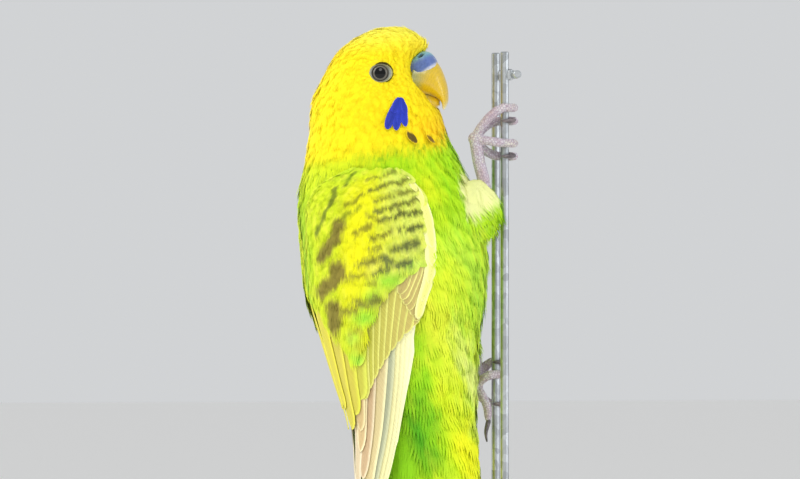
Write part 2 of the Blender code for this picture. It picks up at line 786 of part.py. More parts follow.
def build_perch(materials):
    bottom = ROD_TOP_Z - SOCKET_DEPTH + GAP
    for side, name in ((-1, "right"), (1, "left")):
        centre = (WIRE_X, side * WIRE_PITCH / 2, (bottom + WIRE_TOP_Z) / 2)
        cylinder("perch_wire_" + name, centre, WIRE_RADIUS, WIRE_TOP_Z - bottom, materials["wire"])
    cross_x = WIRE_X + 2 * WIRE_RADIUS + GAP
    for height, name in zip(CROSS_WIRE_HEIGHTS, ("upper", "lower")):
        cylinder("perch_cross_wire_" + name, (cross_x, 0.0, height), WIRE_RADIUS,
                 2 * CROSS_WIRE_HALF, materials["wire"], axis='Y')


def build_stand(materials):
    profile = ((BASE_RADIUS, 0.0), (BASE_RADIUS, BASE_HEIGHT - BASE_BEVEL),
               (BASE_RADIUS - BASE_BEVEL * BEVEL_MIDDLE, BASE_HEIGHT - BASE_BEVEL * BEVEL_MIDDLE),
               (BASE_RADIUS - BASE_BEVEL, BASE_HEIGHT))
    angles = [math.tau * k / BASE_SIDES for k in range(BASE_SIDES)]
    rings = [[Vector((r * math.cos(angle), r * math.sin(angle), z)) for angle in angles]
             for r, z in profile]
    loft("stand_base", rings, materials["base"])
    low = BASE_HEIGHT + GAP
    for side, name in ((-1, "right"), (1, "left")):
        y = side * WIRE_PITCH / 2
        rod = cylinder("stand_rod_" + name, (WIRE_X, y, (low + ROD_TOP_Z) / 2), ROD_RADIUS,
                       ROD_TOP_Z - low, materials["rod"])
        socket = cylinder("cut_socket", (WIRE_X, y, ROD_TOP_Z), WIRE_RADIUS + GAP,
                          2 * SOCKET_DEPTH, materials["rod"], SOCKET_SIDES)
        boolean(rod, [socket], 'DIFFERENCE')


def main():
    for old in list(bpy.data.objects):
        bpy.data.objects.remove(old, do_unlink=True)
    materials = {
        "head": make_material("face_feathers", "#FFE818", 0.7),
        "neck": make_material("neck_feathers", "#E8E418", 0.7),
        "trunk": make_material("body_feathers", "#A8DC14", 0.7),
        "wing": make_material("wing_feathers", "#B8BC3C", 0.6),
        "tail": make_material("tail_feathers", "#D8DC30", 0.6),
        "thigh": make_material("thigh_feathers", "#E6ECA0", 0.75),
        "foot": make_material("foot_skin", "#BCA8B6", 0.55),
        "claw": make_material("claw_horn", "#5A5054", 0.35),
        "beak": make_material("beak_horn", "#DDB838", 0.3),
        "cere": make_material("cere_skin", "#5E74A8", 0.4),
        "eye": make_material("eye_gloss", "#0C0C0E", 0.05),
        "wire": make_material("zinc_wire", "#A8ACAE", 0.35, 1.0),
        "rod": make_material("steel_rod", "#B8BABC", 0.25, 1.0),
        "base": make_material("beech_base", "#C89A68", 0.5),
    }
    build_head(materials)
    build_neck(materials)
    build_trunk(materials)
    build_wing(-1, "wing_right", materials["wing"])
    build_wing(1, "wing_left", materials["wing"])
    build_tail(materials)
    build_bill(materials)
    for side, name in ((-1, "eye_right"), (1, "eye_left")):
        eye_ball(name, side, 0.0, materials["eye"])
    for leg in LEGS:
        build_leg(leg, materials)
    build_perch(materials)
    build_stand(materials)


main()
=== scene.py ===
"""Looks of a still, life-size budgerigar that clings to two cut wires on a plain stand.

The frame is in metres and the named sizes are in millimetres. +X is the bird's front, +Y its left
side and +Z up. The side that the photograph shows is the bird's right side.
"""

import math

import bmesh
import bpy
import numpy as np
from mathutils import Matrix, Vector


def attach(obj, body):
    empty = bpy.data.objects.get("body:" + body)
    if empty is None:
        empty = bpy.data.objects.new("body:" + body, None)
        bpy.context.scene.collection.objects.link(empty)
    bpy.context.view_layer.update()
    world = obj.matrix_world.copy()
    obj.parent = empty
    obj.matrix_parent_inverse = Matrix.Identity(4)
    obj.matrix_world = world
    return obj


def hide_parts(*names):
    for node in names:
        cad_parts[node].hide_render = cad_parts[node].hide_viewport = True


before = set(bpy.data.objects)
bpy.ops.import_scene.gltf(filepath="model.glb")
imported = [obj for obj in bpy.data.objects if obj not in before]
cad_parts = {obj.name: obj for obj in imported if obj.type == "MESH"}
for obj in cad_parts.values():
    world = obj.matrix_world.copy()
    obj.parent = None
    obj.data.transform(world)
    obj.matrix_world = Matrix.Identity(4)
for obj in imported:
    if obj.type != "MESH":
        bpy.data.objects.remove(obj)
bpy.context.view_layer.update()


# Skin
# A bird's skin is one thin, loose cover from the crown to the tail's root and round both thighs.
# It is one closed surface here, a coat's depth inside the solids of the flesh, and it shows only
# where the feathers part.

MM = 0.001
CROWN_Z = 226.0
HEAD_AXIS_X = -7.0
HEAD_TURN = math.radians(18.0)
TURN_TO = 19.0
TURN_FROM = 34.0
# Depth below the crown, back x, x of the widest place, front x, half width
BODY_STATIONS = (
    (0.8, -7.6, -2.6, 3.2, 5.2),
    (2.9, -11.9, -3.6, 6.0, 9.2),
    (6.2, -16.2, -5.2, 8.0, 11.7),
    (9.4, -18.5, -6.4, 5.0, 12.7),
    (13.3, -20.6, -7.0, 5.0, 13.4),
    (17.5, -22.8, -7.0, 7.4, 14.1),
    (21.8, -23.8, -6.6, 10.8, 14.9),
    (27.8, -24.5, -6.0, 12.9, 16.2),
    (36.0, -26.0, -5.0, 17.0, 19.2),
    (44.5, -27.5, -4.0, 20.4, 22.3),
    (57.0, -26.4, -3.0, 23.2, 23.8),
    (70.0, -24.6, -3.0, 22.9, 23.8),
    (81.0, -18.8, -2.5, 21.4, 19.6),
    (92.0, -13.4, -0.5, 20.7, 16.6),
    (102.0, -8.8, 2.5, 20.5, 13.3),
    (112.0, -6.4, 6.0, 20.8, 10.9),
    (122.0, -4.4, 8.0, 21.4, 9.9),
    (132.0, 2.4, 11.5, 20.2, 8.4),
    (144.0, 8.6, 14.0, 18.6, 5.6),
    (152.0, 10.6, 14.4, 17.8, 2.8),
)
# Centre, radii and pitch in degrees of the feathered thighs
THIGHS = (
    ((17.7, -8.6, 180.2), (5.5, 5.7, 7.0), 20.0),
    ((14.6, 9.6, 147.0), (6.4, 6.0, 8.6), -12.0),
)
COAT_DEPTH_HEAD = 0.8
COAT_DEPTH_BODY = 1.7
SKIN_COLUMNS = 96
SKIN_ROW = 1.4
SKIN_VOXEL = 0.8
SKIN_SMOOTHING = 8
SKIN_TONE = 0.97                    # lightness of the skin, as a share of its feathers'
SKIN_END = 152.0                    # depth of the skin's lower end
THIGH_SKIN_DEPTH = 1.1
SIDE_VIEW = (0.985, 0.174)          # cosine and sine of the side view's ten degrees
NOISE_WAVES = 7
NOISE_SPREAD = 2.6                  # brings the sum of the waves to about one
UNWRAP_DOME = 16.0
UNWRAP_LENGTH = 215.0


def unit(vector):
    """A vector, or each of an array of them, at a length of one."""
    vector = np.asarray(vector, float)
    return vector / np.linalg.norm(vector, axis=-1, keepdims=True)


def ease(low, high, value):
    """A smooth ramp from 0 at low to 1 at high."""
    share = np.clip((np.asarray(value, float) - low) / (high - low), 0.0, 1.0)
    return share * share * (3.0 - 2.0 * share)


def table_curve(rows, key):
    """The values of a table at each key, on a smooth curve through its rows."""
    rows = np.array(rows, float)
    keys = rows[:, 0]
    values = rows[:, 1:]
    last = len(keys) - 1
    before = np.maximum(np.arange(last + 1) - 1, 0)
    after = np.minimum(np.arange(last + 1) + 1, last)
    slopes = (values[after] - values[before]) / (keys[after] - keys[before])[:, None]
    key = np.clip(np.asarray(key, float), keys[0], keys[-1])
    low = np.clip(np.searchsorted(keys, key, side="right") - 1, 0, last - 1)
    span = (keys[low + 1] - keys[low])[..., None]
    t = (key - keys[low])[..., None] / span
    return ((2 * t ** 3 - 3 * t ** 2 + 1) * values[low] + (t ** 3 - 2 * t ** 2 + t) * slopes[low] * span
            + (3 * t ** 2 - 2 * t ** 3) * values[low + 1] + (t ** 3 - t ** 2) * slopes[low + 1] * span)


def head_turn(depth):
    return HEAD_TURN * ease(0.0, 1.0, (TURN_FROM - depth) / (TURN_FROM - TURN_TO))


def turn_about_neck(points, angle):
    """Turn points about the head's upright axis, towards the bird's right."""
    forward = points[..., 0] - HEAD_AXIS_X
    left = points[..., 1]
    return np.stack([HEAD_AXIS_X + forward * np.cos(angle) + left * np.sin(angle),
                     left * np.cos(angle) - forward * np.sin(angle), points[..., 2]], -1)


def head_place(forward, left, height):
    """Place in the scene of a place given in the head's own directions."""
    point = np.stack(np.broadcast_arrays(HEAD_AXIS_X + np.asarray(forward, float), left, height), -1)
    return turn_about_neck(point, HEAD_TURN)


def oval_point(back, middle, front, half_width, depth, angle):
    """Point of a body section: angle 0 is the front, a quarter turn the left side."""
    reach = np.where(np.cos(angle) > 0.0, front - middle, middle - back)
    return np.stack([middle + reach * np.cos(angle), half_width * np.sin(angle), CROWN_Z - depth], -1)


def body_point(depth, angle):
    depth, angle = np.broadcast_arrays(np.maximum(depth, 0.01), angle)
    back, middle, front, half = np.moveaxis(table_curve(BODY_STATIONS, depth), -1, 0)
    first, first_back, first_middle, first_front, first_half = BODY_STATIONS[0]
    top_x = first_middle + 0.8
    share = np.sqrt(np.minimum(depth / first, 1.0))
    cap = depth < first
    back = np.where(cap, top_x + (first_back - top_x) * share, back)
    middle = np.where(cap, top_x + (first_middle - top_x) * share, middle)
    front = np.where(cap, top_x + (first_front - top_x) * share, front)
    half = np.where(cap, first_half * share, half)
    return turn_about_neck(oval_point(back, middle, front, half, depth, angle), head_turn(depth))


def surface_normal(surface, depth, place, down_step=0.04, side_step=0.01):
    """Normal of a surface of depth and place, from a small step down it and one across it."""
    depth = np.maximum(depth, 0.05)
    down = surface(depth + down_step, place) - surface(depth - down_step, place)
    across = surface(depth, place + side_step) - surface(depth, place - side_step)
    return unit(np.cross(down, across))


def lifted_point(surface, depth, angle, lift):
    """Point at a height over a surface, measured along its normal."""
    lift = np.asarray(lift, float)[..., None]
    return surface(depth, angle) + surface_normal(surface, depth, angle) * lift


def body_place(points):
    """Depth, degrees round from the front, and side-view x, of points in millimetres."""
    depth = CROWN_Z - points[:, 2]
    own = turn_about_neck(points, -head_turn(depth))
    middle = table_curve(BODY_STATIONS, depth)[:, 1]
    round_degrees = np.degrees(np.arctan2(np.abs(own[:, 1]), own[:, 0] - middle))
    side_x = SIDE_VIEW[0] * points[:, 0] + SIDE_VIEW[1] * np.abs(points[:, 1])
    return depth, round_degrees, side_x


def linear(colour):
    """Linear values of an sRGB hex colour."""
    channels = [int(colour[i:i + 2], 16) / 255 for i in (1, 3, 5)]
    return np.array([c / 12.92 if c <= 0.04045 else ((c + 0.055) / 1.055) ** 2.4 for c in channels])


def painted(ground, colour, share):
    """Ground colours with a colour laid over them by a share for each point."""
    share = np.clip(np.asarray(share, float), 0.0, 1.0)[:, None]
    return ground * (1.0 - share) + linear(colour) * share


def soft_noise(points, size, seed):
    """Smooth noise from about -1 to 1 whose patches are about size millimetres across."""
    random = np.random.default_rng(seed)
    total = np.zeros(len(points))
    for _ in range(NOISE_WAVES):
        direction = random.normal(size=3)
        direction *= math.tau / (size * 2.0) / np.linalg.norm(direction) * random.uniform(0.6, 1.5)
        total += np.sin(points @ direction + random.uniform(0.0, math.tau))
    return total / NOISE_SPREAD


# Degrees round from the front, and the depth where the body's green starts there
GREEN_ANGLES = (0, 20, 50, 90, 140, 180)
GREEN_DEPTHS = (28.5, 29.5, 33.2, 34.6, 37.5, 39.0)
# Side-view x, depth, half width, half height, colour and strength of the larger patches
BODY_PATCHES = (
    (7.5, 43.0, 3.2, 7.0, "#EDF01C", 0.75),
    (12.0, 66.0, 5.5, 5.0, "#E6F020", 0.8),
    (9.0, 76.0, 4.0, 10.0, "#EEF03A", 0.75),
    (16.0, 60.0, 6.0, 8.0, "#C8F244", 0.7),
    (20.5, 72.0, 3.0, 12.0, "#84C83A", 0.6),
    (12.0, 87.0, 3.5, 9.0, "#E6F436", 0.7),
    (6.0, 92.0, 3.4, 9.0, "#7ED00A", 0.7),
    (18.5, 92.0, 2.6, 12.0, "#E6EC90", 0.75),
    (11.5, 97.0, 3.0, 6.0, "#E8F018", 0.7),
    # Partly the flank's own darker green and partly painted shade: dark green low on the side, next to the
    # wing's front edge
    (4.5, 107.0, 5.0, 12.0, "#2E9A14", 1.05),
    (9.0, 105.0, 3.0, 9.0, "#55C010", 0.7),
    (13.5, 112.0, 4.0, 10.0, "#BEE60E", 0.7),
    (18.5, 113.0, 4.0, 11.0, "#F6F20C", 0.95),
)


def in_thigh(points, grow):
    """How far inside a thigh each point in millimetres is: above 1 is inside."""
    inside = np.zeros(len(points))
    for centre, radii, pitch in THIGHS:
        away = points - np.array(centre)
        turn = math.radians(pitch)
        along = away[:, 0] * math.cos(turn) - away[:, 2] * math.sin(turn)
        up = away[:, 0] * math.sin(turn) + away[:, 2] * math.cos(turn)
        local = np.stack([along, away[:, 1], up], -1) / (np.array(radii) + grow)
        inside = np.maximum(inside, 1.0 / np.maximum(np.linalg.norm(local, axis=1), 0.01))
    return inside


def plumage(points):
    """Linear colour of the coat at points in metres, the same on both sides of the bird."""
    points = points / MM
    depth, around, side_x = body_place(points)
    fine = soft_noise(points * np.array([1.0, 1.0, 0.3]), 0.45, 3)
    ragged = depth + 0.7 * fine + 0.5 * soft_noise(points, 2.6, 4)
    green_from = np.interp(around, GREEN_ANGLES, GREEN_DEPTHS)
    colour = np.tile(linear("#FFE70C"), (len(points), 1))
    # Painted highlight: paler lemon over the crown, where the light from above falls on top of the head
    colour = painted(colour, "#FFF650", 0.85 * (1.0 - ease(1.0, 9.0, depth)))
    colour = painted(colour, "#FFCE08", 0.7 * ease(21.0, 28.0, depth) * (1.0 - ease(35.0, 75.0, around)))
    colour = painted(colour, "#F6E608", 0.5 * ease(115.0, 150.0, around) * ease(8.0, 26.0, depth))
    colour = painted(colour, "#B8D810",
                     0.75 * ease(-5.0, 0.5, ragged - green_from) * ease(30.0, 70.0, around))
    colour = painted(colour, "#6E7A10", 0.85 * ease(0.45, 1.0, fine) * ease(-2.8, -0.8, depth - green_from)
                     * (1.0 - ease(0.8, 3.2, depth - green_from)) * (1.0 - ease(100.0, 120.0, around)))
    body = np.tile(linear("#ACDE0C"), (len(points), 1))
    body = painted(body, "#CCE82C", 0.7 * ease(48.0, 62.0, depth) * (1.0 - ease(70.0, 100.0, around)))
    streaks = points * np.array([1.0, 1.0, 0.25]) + np.array([0.3, 0.0, 0.0]) * points[:, 2:]
    body = painted(body, "#EEF23A",
                   0.5 * ease(0.1, 1.0, soft_noise(streaks, 1.3, 7)) * ease(46.0, 60.0, depth))
    body = painted(body, "#7ED40A", 0.3 * ease(0.1, 1.2, soft_noise(streaks, 1.1, 8)))
    mantle = ease(95.0, 125.0, around)
    body = painted(body, "#AED41A", 0.85 * mantle)
    body = painted(body, "#DCE818", 0.75 * mantle * (1.0 - ease(38.0, 52.0, depth)))
    body = painted(body, "#6E9420", 0.6 * mantle * ease(0.6, 1.2, soft_noise(streaks, 0.5, 9)))
    body = painted(body, "#8ED81A", 0.9 * mantle * ease(76.0, 90.0, depth))
    warped_x = side_x + 0.6 * soft_noise(streaks, 1.0, 11) + 1.0 * soft_noise(points, 4.0, 12)
    warped_depth = depth + 2.0 * soft_noise(points, 2.4, 13)
    for x, centre, half_width, half_height, tone, strength in BODY_PATCHES:
        away = (((warped_x - x - 0.25 * (warped_depth - centre)) / half_width) ** 2
                + ((warped_depth - centre) / half_height) ** 2)
        body = painted(body, tone, 0.85 * strength * np.exp(-away) * (1.0 - mantle))
    body = painted(body, "#F4EE14", 0.9 * ease(116.0, 128.0, depth) * (1.0 - ease(100.0, 140.0, around)))
    colour = colour + (body - colour) * ease(-2.2, 2.4, ragged - green_from)[:, None]
    thigh = in_thigh(points, 1.0) + 0.10 * soft_noise(points * np.array([1.0, 1.0, 0.4]), 0.9, 14)
    thigh_front = ease(10.5, 14.0, points[:, 0])
    colour = painted(colour, "#F1F0A8",
                     0.9 * ease(0.84, 1.14, thigh) * thigh_front * ease(36.0, 40.0, depth))
    return colour


def new_piece(name, mesh, material, body="root"):
    """A finished mesh as a piece of the model, with its place in its mesh."""
    piece = bpy.data.objects.new(name, mesh)
    bpy.context.scene.collection.objects.link(piece)
    piece.data.materials.clear()
    piece.data.materials.append(material)
    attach(piece, body)
    return piece


def mesh_from(name, points, faces, smooth=True):
    """A mesh from an array of points in millimetres."""
    mesh = bpy.data.meshes.new(name)
    mesh.from_pydata((np.asarray(points, float) * MM).tolist(), [], [tuple(f) for f in faces])
    mesh.shade_smooth() if smooth else mesh.shade_flat()
    return mesh


def applied_mesh(piece):
    """The plain mesh that a helper object's modifiers make; the helper is removed."""
    bpy.context.view_layer.update()
    evaluated = piece.evaluated_get(bpy.context.evaluated_depsgraph_get())
    mesh = bpy.data.meshes.new_from_object(evaluated)
    mesh.name = piece.name
    bpy.data.objects.remove(piece, do_unlink=True)
    return mesh


def helper_object(name, mesh):
    piece = bpy.data.objects.new(name, mesh)
    bpy.context.scene.collection.objects.link(piece)
    return piece


def grid_faces(rows, columns, closed):
    """Faces of a grid of points, counted row by row; a closed grid joins its columns."""
    faces = []
    for row in range(rows - 1):
        for column in range(columns if closed else columns - 1):
            after = (column + 1) % columns
            low = row * columns
            high = low + columns
            faces.append((low + column, high + column, high + after, low + after))
    return faces


def closed_grid(grid, first_pole, last_pole):
    """Points and faces of a closed skin over rings of points, with a pole at each end."""
    rows, columns = grid.shape[:2]
    points = np.concatenate([grid.reshape(-1, 3), [first_pole, last_pole]])
    faces = grid_faces(rows, columns, True)
    last = (rows - 1) * columns
    for k in range(columns):
        after = (k + 1) % columns
        faces.append((rows * columns, k, after))
        faces.append((rows * columns + 1, last + after, last + k))
    return points, faces


def set_values(mesh, name, kind, values, domain="POINT"):
    """Write an attribute of a mesh from an array."""
    attribute = mesh.attributes.get(name) or mesh.attributes.new(name, kind, domain)
    field = {"FLOAT": "value", "FLOAT_VECTOR": "vector", "FLOAT_COLOR": "color"}[kind]
    attribute.data.foreach_set(field, np.ascontiguousarray(values, np.float32).ravel())


def get_values(mesh, name, width):
    attribute = mesh.attributes[name]
    field = {1: "value", 3: "vector", 4: "color"}[width]
    values = np.zeros(len(attribute.data) * width, np.float32)
    attribute.data.foreach_get(field, values)
    return values.reshape(-1, width) if width > 1 else values


def vertex_places(mesh):
    places = np.zeros(len(mesh.vertices) * 3, np.float32)
    mesh.vertices.foreach_get("co", places)
    return places.reshape(-1, 3).astype(float)


def vertex_normals(mesh):
    normals = np.zeros(len(mesh.vertices) * 3, np.float32)
    mesh.vertex_normals.foreach_get("vector", normals)
    return normals.reshape(-1, 3).astype(float)


def set_map(mesh, places):
    """The OFBake map, from a place on it for each vertex."""
    corners = np.zeros(len(mesh.loops), np.int32)
    mesh.loops.foreach_get("vertex_index", corners)
    layer = mesh.uv_layers.get("OFBake") or mesh.uv_layers.new(name="OFBake")
    layer.uv.foreach_set("vector", places[corners].astype(np.float32).ravel())


def with_alpha(colours):
    return np.concatenate([colours, np.ones((len(colours), 1))], 1)


def add_node(tree, kind, inputs=None, stops=(), **settings):
    """Add a node with its properties and its inputs' values or links, and a ramp's colour stops."""
    node = tree.nodes.new(kind)
    for name, value in settings.items():
        setattr(node, name, value)
    for key, value in (inputs or {}).items():
        if isinstance(value, bpy.types.NodeSocket):
            tree.links.new(value, node.inputs[key])
        else:
            node.inputs[key].default_value = value
    if stops:
        elements = node.color_ramp.elements
        while len(elements) < len(stops):
            elements.new(0.5)
        for element, (position, colour) in zip(elements, stops):
            element.position = position
            element.color = (*linear(colour), 1.0)
    return node


def new_material(name, colour, roughness, **principled):
    """A Principled material, its shader node and its tree."""
    material = bpy.data.materials.new(name)
    material.use_nodes = True
    shader = material.node_tree.nodes["Principled BSDF"]
    shader.inputs["Base Color"].default_value = (*linear(colour), 1.0)
    shader.inputs["Roughness"].default_value = roughness
    for key, value in principled.items():
        shader.inputs[key.replace("_", " ")].default_value = value
    material.diffuse_color = (*linear(colour), 1.0)
    return material, shader, material.node_tree


def unwrap(points):
    """Where points in metres lie on a flat unwrap of the skin, down from the crown."""
    points = points / MM
    depth = np.maximum(CROWN_Z - points[:, 2], 0.0)
    middle = table_curve(BODY_STATIONS, depth)[:, 1]
    u = np.arctan2(points[:, 1], points[:, 0] - middle) / math.tau + 0.5
    arc = (UNWRAP_DOME * np.arccos(np.clip(1.0 - depth / UNWRAP_DOME, 0.0, 1.0))
           + np.maximum(depth - UNWRAP_DOME, 0.0))
    return np.stack([0.01 + 0.98 * u, 0.99 - 0.98 * np.clip(arc / UNWRAP_LENGTH, 0.0, 1.0)], -1)


def skin_depth(depth):
    return COAT_DEPTH_HEAD + (COAT_DEPTH_BODY - COAT_DEPTH_HEAD) * ease(16.0, 42.0, depth)


def one_surface(name, mesh, voxel, smoothings):
    """A mesh remade as one closed surface on a grid of voxels, then smoothed."""
    helper = helper_object(name, mesh)
    remesh = helper.modifiers.new("one_surface", 'REMESH')
    remesh.mode = 'VOXEL'
    remesh.voxel_size = voxel * MM
    remesh.use_smooth_shade = True
    smooth = helper.modifiers.new("smooth", 'SMOOTH')
    smooth.iterations = smoothings
    return applied_mesh(helper)


def skin_mesh():
    depths = np.concatenate([(0.03, 0.12, 0.3, 0.6, 1.0, 1.6, 2.4, 3.4), np.arange(4.6, SKIN_END, SKIN_ROW)])
    angles = np.linspace(0.0, math.tau, SKIN_COLUMNS, endpoint=False)
    depth_grid, angle_grid = np.meshgrid(depths, angles, indexing="ij")
    grid = lifted_point(body_point, depth_grid, angle_grid, -skin_depth(depth_grid))
    mesh = mesh_from("skin", *closed_grid(grid, grid[0].mean(0), grid[-1].mean(0)))
    work = bmesh.new()
    work.from_mesh(mesh)
    for centre, radii, pitch in THIGHS:
        ball = bmesh.ops.create_uvsphere(work, u_segments=32, v_segments=20, radius=1.0)
        for vertex in ball["verts"]:
            local = [c * (r - THIGH_SKIN_DEPTH) for c, r in zip(vertex.co, radii)]
            turn = math.radians(pitch)
            vertex.co = Vector((centre[0] + local[0] * math.cos(turn) + local[2] * math.sin(turn),
                                centre[1] + local[1],
                                centre[2] + local[2] * math.cos(turn) - local[0] * math.sin(turn))) * MM
    bmesh.ops.recalc_face_normals(work, faces=work.faces)
    work.to_mesh(mesh)
    work.free()
    return one_surface("skin", mesh, SKIN_VOXEL, SKIN_SMOOTHING)


skin_surface = skin_mesh()
set_values(skin_surface, "tint", "FLOAT_COLOR", with_alpha(plumage(vertex_places(skin_surface)) * SKIN_TONE))

# Thin dry skin with the coat's own markings: it reads as the shade between the feathers
skin_finish, shader, tree = new_material("feathered_skin", "#D8C820", 0.8)
tint = add_node(tree, "ShaderNodeAttribute", attribute_name="tint")
place = add_node(tree, "ShaderNodeTexCoord")
mottle = add_node(tree, "ShaderNodeTexNoise",
                  {"Vector": place.outputs["Object"], "Scale": 900.0, "Detail": 3.0})
tone = add_node(tree, "ShaderNodeMapRange", {"Value": mottle.outputs["Fac"], 3: 0.85, 4: 1.1})
shaded = add_node(tree, "ShaderNodeVectorMath", {0: tint.outputs["Color"], "Scale": tone.outputs["Result"]},
                  operation='SCALE')
tree.links.new(shaded.outputs["Vector"], shader.inputs["Base Color"])
relief = add_node(tree, "ShaderNodeBump",
                  {"Height": mottle.outputs["Fac"], "Strength": 0.4, "Distance": 0.0003})
tree.links.new(relief.outputs["Normal"], shader.inputs["Normal"])

skin = new_piece("skin", skin_surface, skin_finish)
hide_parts("head", "neck", "trunk", "thigh_right", "thigh_left")


# Body coat
# Contour feathers cover the bird from the bill's root to the tail. They are keratin vanes whose
# soft barbs part into fine strands, rooted in the skin and lying back over the next ones.
# Short on the face and long under the tail, they overlap like tiles.

TUFT_STRANDS = 7
TUFT_KINDS = 4
TUFT_SEED = 11
TUFT_VARIATION = 0.03               # spread of the feathers' lightness
TUFT_SOFTNESS = 0.93                # how far their shading follows the skin's
FACE_SOURCE = (12.0, 0.0, 211.0)    # head place that the face's feathers lie away from
EYE_PLACE = (3.6, 12.8, 213.2)
BARE_EYE = 2.55                     # radius of the bare patch round the eye
CERE_PLACE = (13.0, 0.0, 215.1)
BEAK_PLACE = (15.0, 0.0, 211.0)
# Depth, and the length of the feathers there
FEATHER_DEPTHS = (0, 12, 24, 36, 50, 80, 110, 125, 150)
FEATHER_LENGTHS = (2.6, 3.0, 3.8, 5.0, 6.0, 7.0, 8.5, 12.0, 15.0)
THIGH_FEATHER = 6.5


def tuft_mesh(name, seed):
    """One small feather, a metre long, as flat strands that part towards their tips."""
    random = np.random.default_rng(seed)
    points = []
    faces = []
    along = []
    for k in range(TUFT_STRANDS):
        off = (k / (TUFT_STRANDS - 1) - 0.5) * 2.0
        length = 1.0 - 0.24 * off ** 2 + random.uniform(-0.08, 0.05)
        root_y = 0.12 * off
        tip_y = 0.27 * off + random.uniform(-0.04, 0.04)
        lift = random.uniform(-0.012, 0.012) - 0.03 * off ** 2
        first = len(points)
        for t, half in ((0.0, 0.028), (0.42, 0.042), (0.76, 0.030)):
            y = root_y + (tip_y - root_y) * t ** 0.8
            z = lift * t + 0.05 * math.sin(math.pi * t)
            for side in (-1, 1):
                points.append((length * t, y + side * half, z))
                along.append(t)
        points.append((length, tip_y, lift - 0.02))
        along.append(1.0)
        faces += [(first, first + 1, first + 3, first + 2), (first + 2, first + 3, first + 5, first + 4),
                  (first + 4, first + 5, first + 6)]
    mesh = mesh_from(name, np.array(points) / MM, faces)
    set_values(mesh, "along", "FLOAT", along)
    set_values(mesh, "across", "FLOAT", [p[1] for p in points])
    return mesh


tuft_group = bpy.data.collections.new("tufts")
for number in range(TUFT_KINDS):
    name = "tuft_%d" % number
    tuft_group.objects.link(bpy.data.objects.new(name, tuft_mesh(name, TUFT_SEED + number)))


def coat_tree():
    """Scatter tufts over a surface by its attributes share, flow and size."""
    tree = bpy.data.node_groups.new("coat", "GeometryNodeTree")
    face = tree.interface
    for name, kind in (("Geometry", "Geometry"), ("Spacing", "Float"), ("Disorder", "Float"),
                       ("Seed", "Int"), ("Finish", "Material")):
        face.new_socket(name, in_out='INPUT', socket_type="NodeSocket" + kind)
    face.new_socket("Geometry", in_out='OUTPUT', socket_type="NodeSocketGeometry")
    given = add_node(tree, "NodeGroupInput").outputs
    share = add_node(tree, "GeometryNodeInputNamedAttribute", {"Name": "share"}, data_type='FLOAT')
    flow = add_node(tree, "GeometryNodeInputNamedAttribute", {"Name": "flow"}, data_type='FLOAT_VECTOR')
    size = add_node(tree, "GeometryNodeInputNamedAttribute", {"Name": "size"}, data_type='FLOAT')
    density = add_node(tree, "ShaderNodeMath", {0: 3.0, 1: given["Spacing"]}, operation='DIVIDE')
    density = add_node(tree, "ShaderNodeMath", {0: density.outputs[0], 1: given["Spacing"]},
                       operation='DIVIDE')
    spread = add_node(tree, "GeometryNodeDistributePointsOnFaces",
                      {"Mesh": given["Geometry"], "Distance Min": given["Spacing"],
                       "Density Max": density.outputs[0], "Density Factor": share.outputs[0],
                       "Seed": given["Seed"]}, distribute_method='POISSON')
    jitter = add_node(tree, "FunctionNodeRandomValue", {0: (-1.0, -1.0, -1.0), 1: (1.0, 1.0, 1.0), "Seed": 5},
                      data_type='FLOAT_VECTOR')
    jitter = add_node(tree, "ShaderNodeVectorMath", {0: jitter.outputs[0], "Scale": given["Disorder"]},
                      operation='SCALE')
    heading = add_node(tree, "ShaderNodeVectorMath", {0: flow.outputs[0], 1: jitter.outputs[0]},
                       operation='ADD')
    heading = add_node(tree, "ShaderNodeVectorMath", {0: heading.outputs[0]}, operation='NORMALIZE')
    growth = add_node(tree, "FunctionNodeRandomValue", {2: 0.8, 3: 1.2, "Seed": 9}, data_type='FLOAT')
    length = add_node(tree, "ShaderNodeMath", {0: growth.outputs[1], 1: size.outputs[0]},
                      operation='MULTIPLY')
    reach = add_node(tree, "ShaderNodeVectorMath", {0: heading.outputs[0], "Scale": length.outputs[0]},
                     operation='SCALE')
    place = add_node(tree, "GeometryNodeInputPosition")
    points = spread.outputs["Points"]
    for name, value in (("root", place.outputs[0]), ("reach", reach.outputs[0]),
                        ("up", spread.outputs["Normal"])):
        stored = add_node(tree, "GeometryNodeStoreNamedAttribute",
                          {"Geometry": points, "Name": name, "Value": value}, data_type='FLOAT_VECTOR')
        points = stored.outputs[0]
    held = add_node(tree, "GeometryNodeInputNamedAttribute", {"Name": "reach"}, data_type='FLOAT_VECTOR')
    up = add_node(tree, "GeometryNodeInputNamedAttribute", {"Name": "up"}, data_type='FLOAT_VECTOR')
    long = add_node(tree, "ShaderNodeVectorMath", {0: held.outputs[0]}, operation='LENGTH')
    lie = add_node(tree, "FunctionNodeAxesToRotation", {0: held.outputs[0], 1: up.outputs[0]},
                   primary_axis='X', secondary_axis='Z')
    kinds = add_node(tree, "GeometryNodeCollectionInfo", {"Collection": tuft_group, "Separate Children": True,
                                                         "Reset Children": True})
    kind = add_node(tree, "FunctionNodeRandomValue", {4: 0, 5: TUFT_KINDS - 1, "Seed": 3}, data_type='INT')
    tufts = add_node(tree, "GeometryNodeInstanceOnPoints",
                     {"Points": points, "Instance": kinds.outputs[0], "Pick Instance": True,
                      "Instance Index": kind.outputs[2], "Rotation": lie.outputs[0],
                      "Scale": long.outputs["Value"]})
    real = add_node(tree, "GeometryNodeRealizeInstances", {0: tufts.outputs[0]})
    finish = add_node(tree, "GeometryNodeSetMaterial",
                      {"Geometry": real.outputs[0], "Material": given["Finish"]})
    add_node(tree, "NodeGroupOutput", {0: finish.outputs[0]})
    return tree


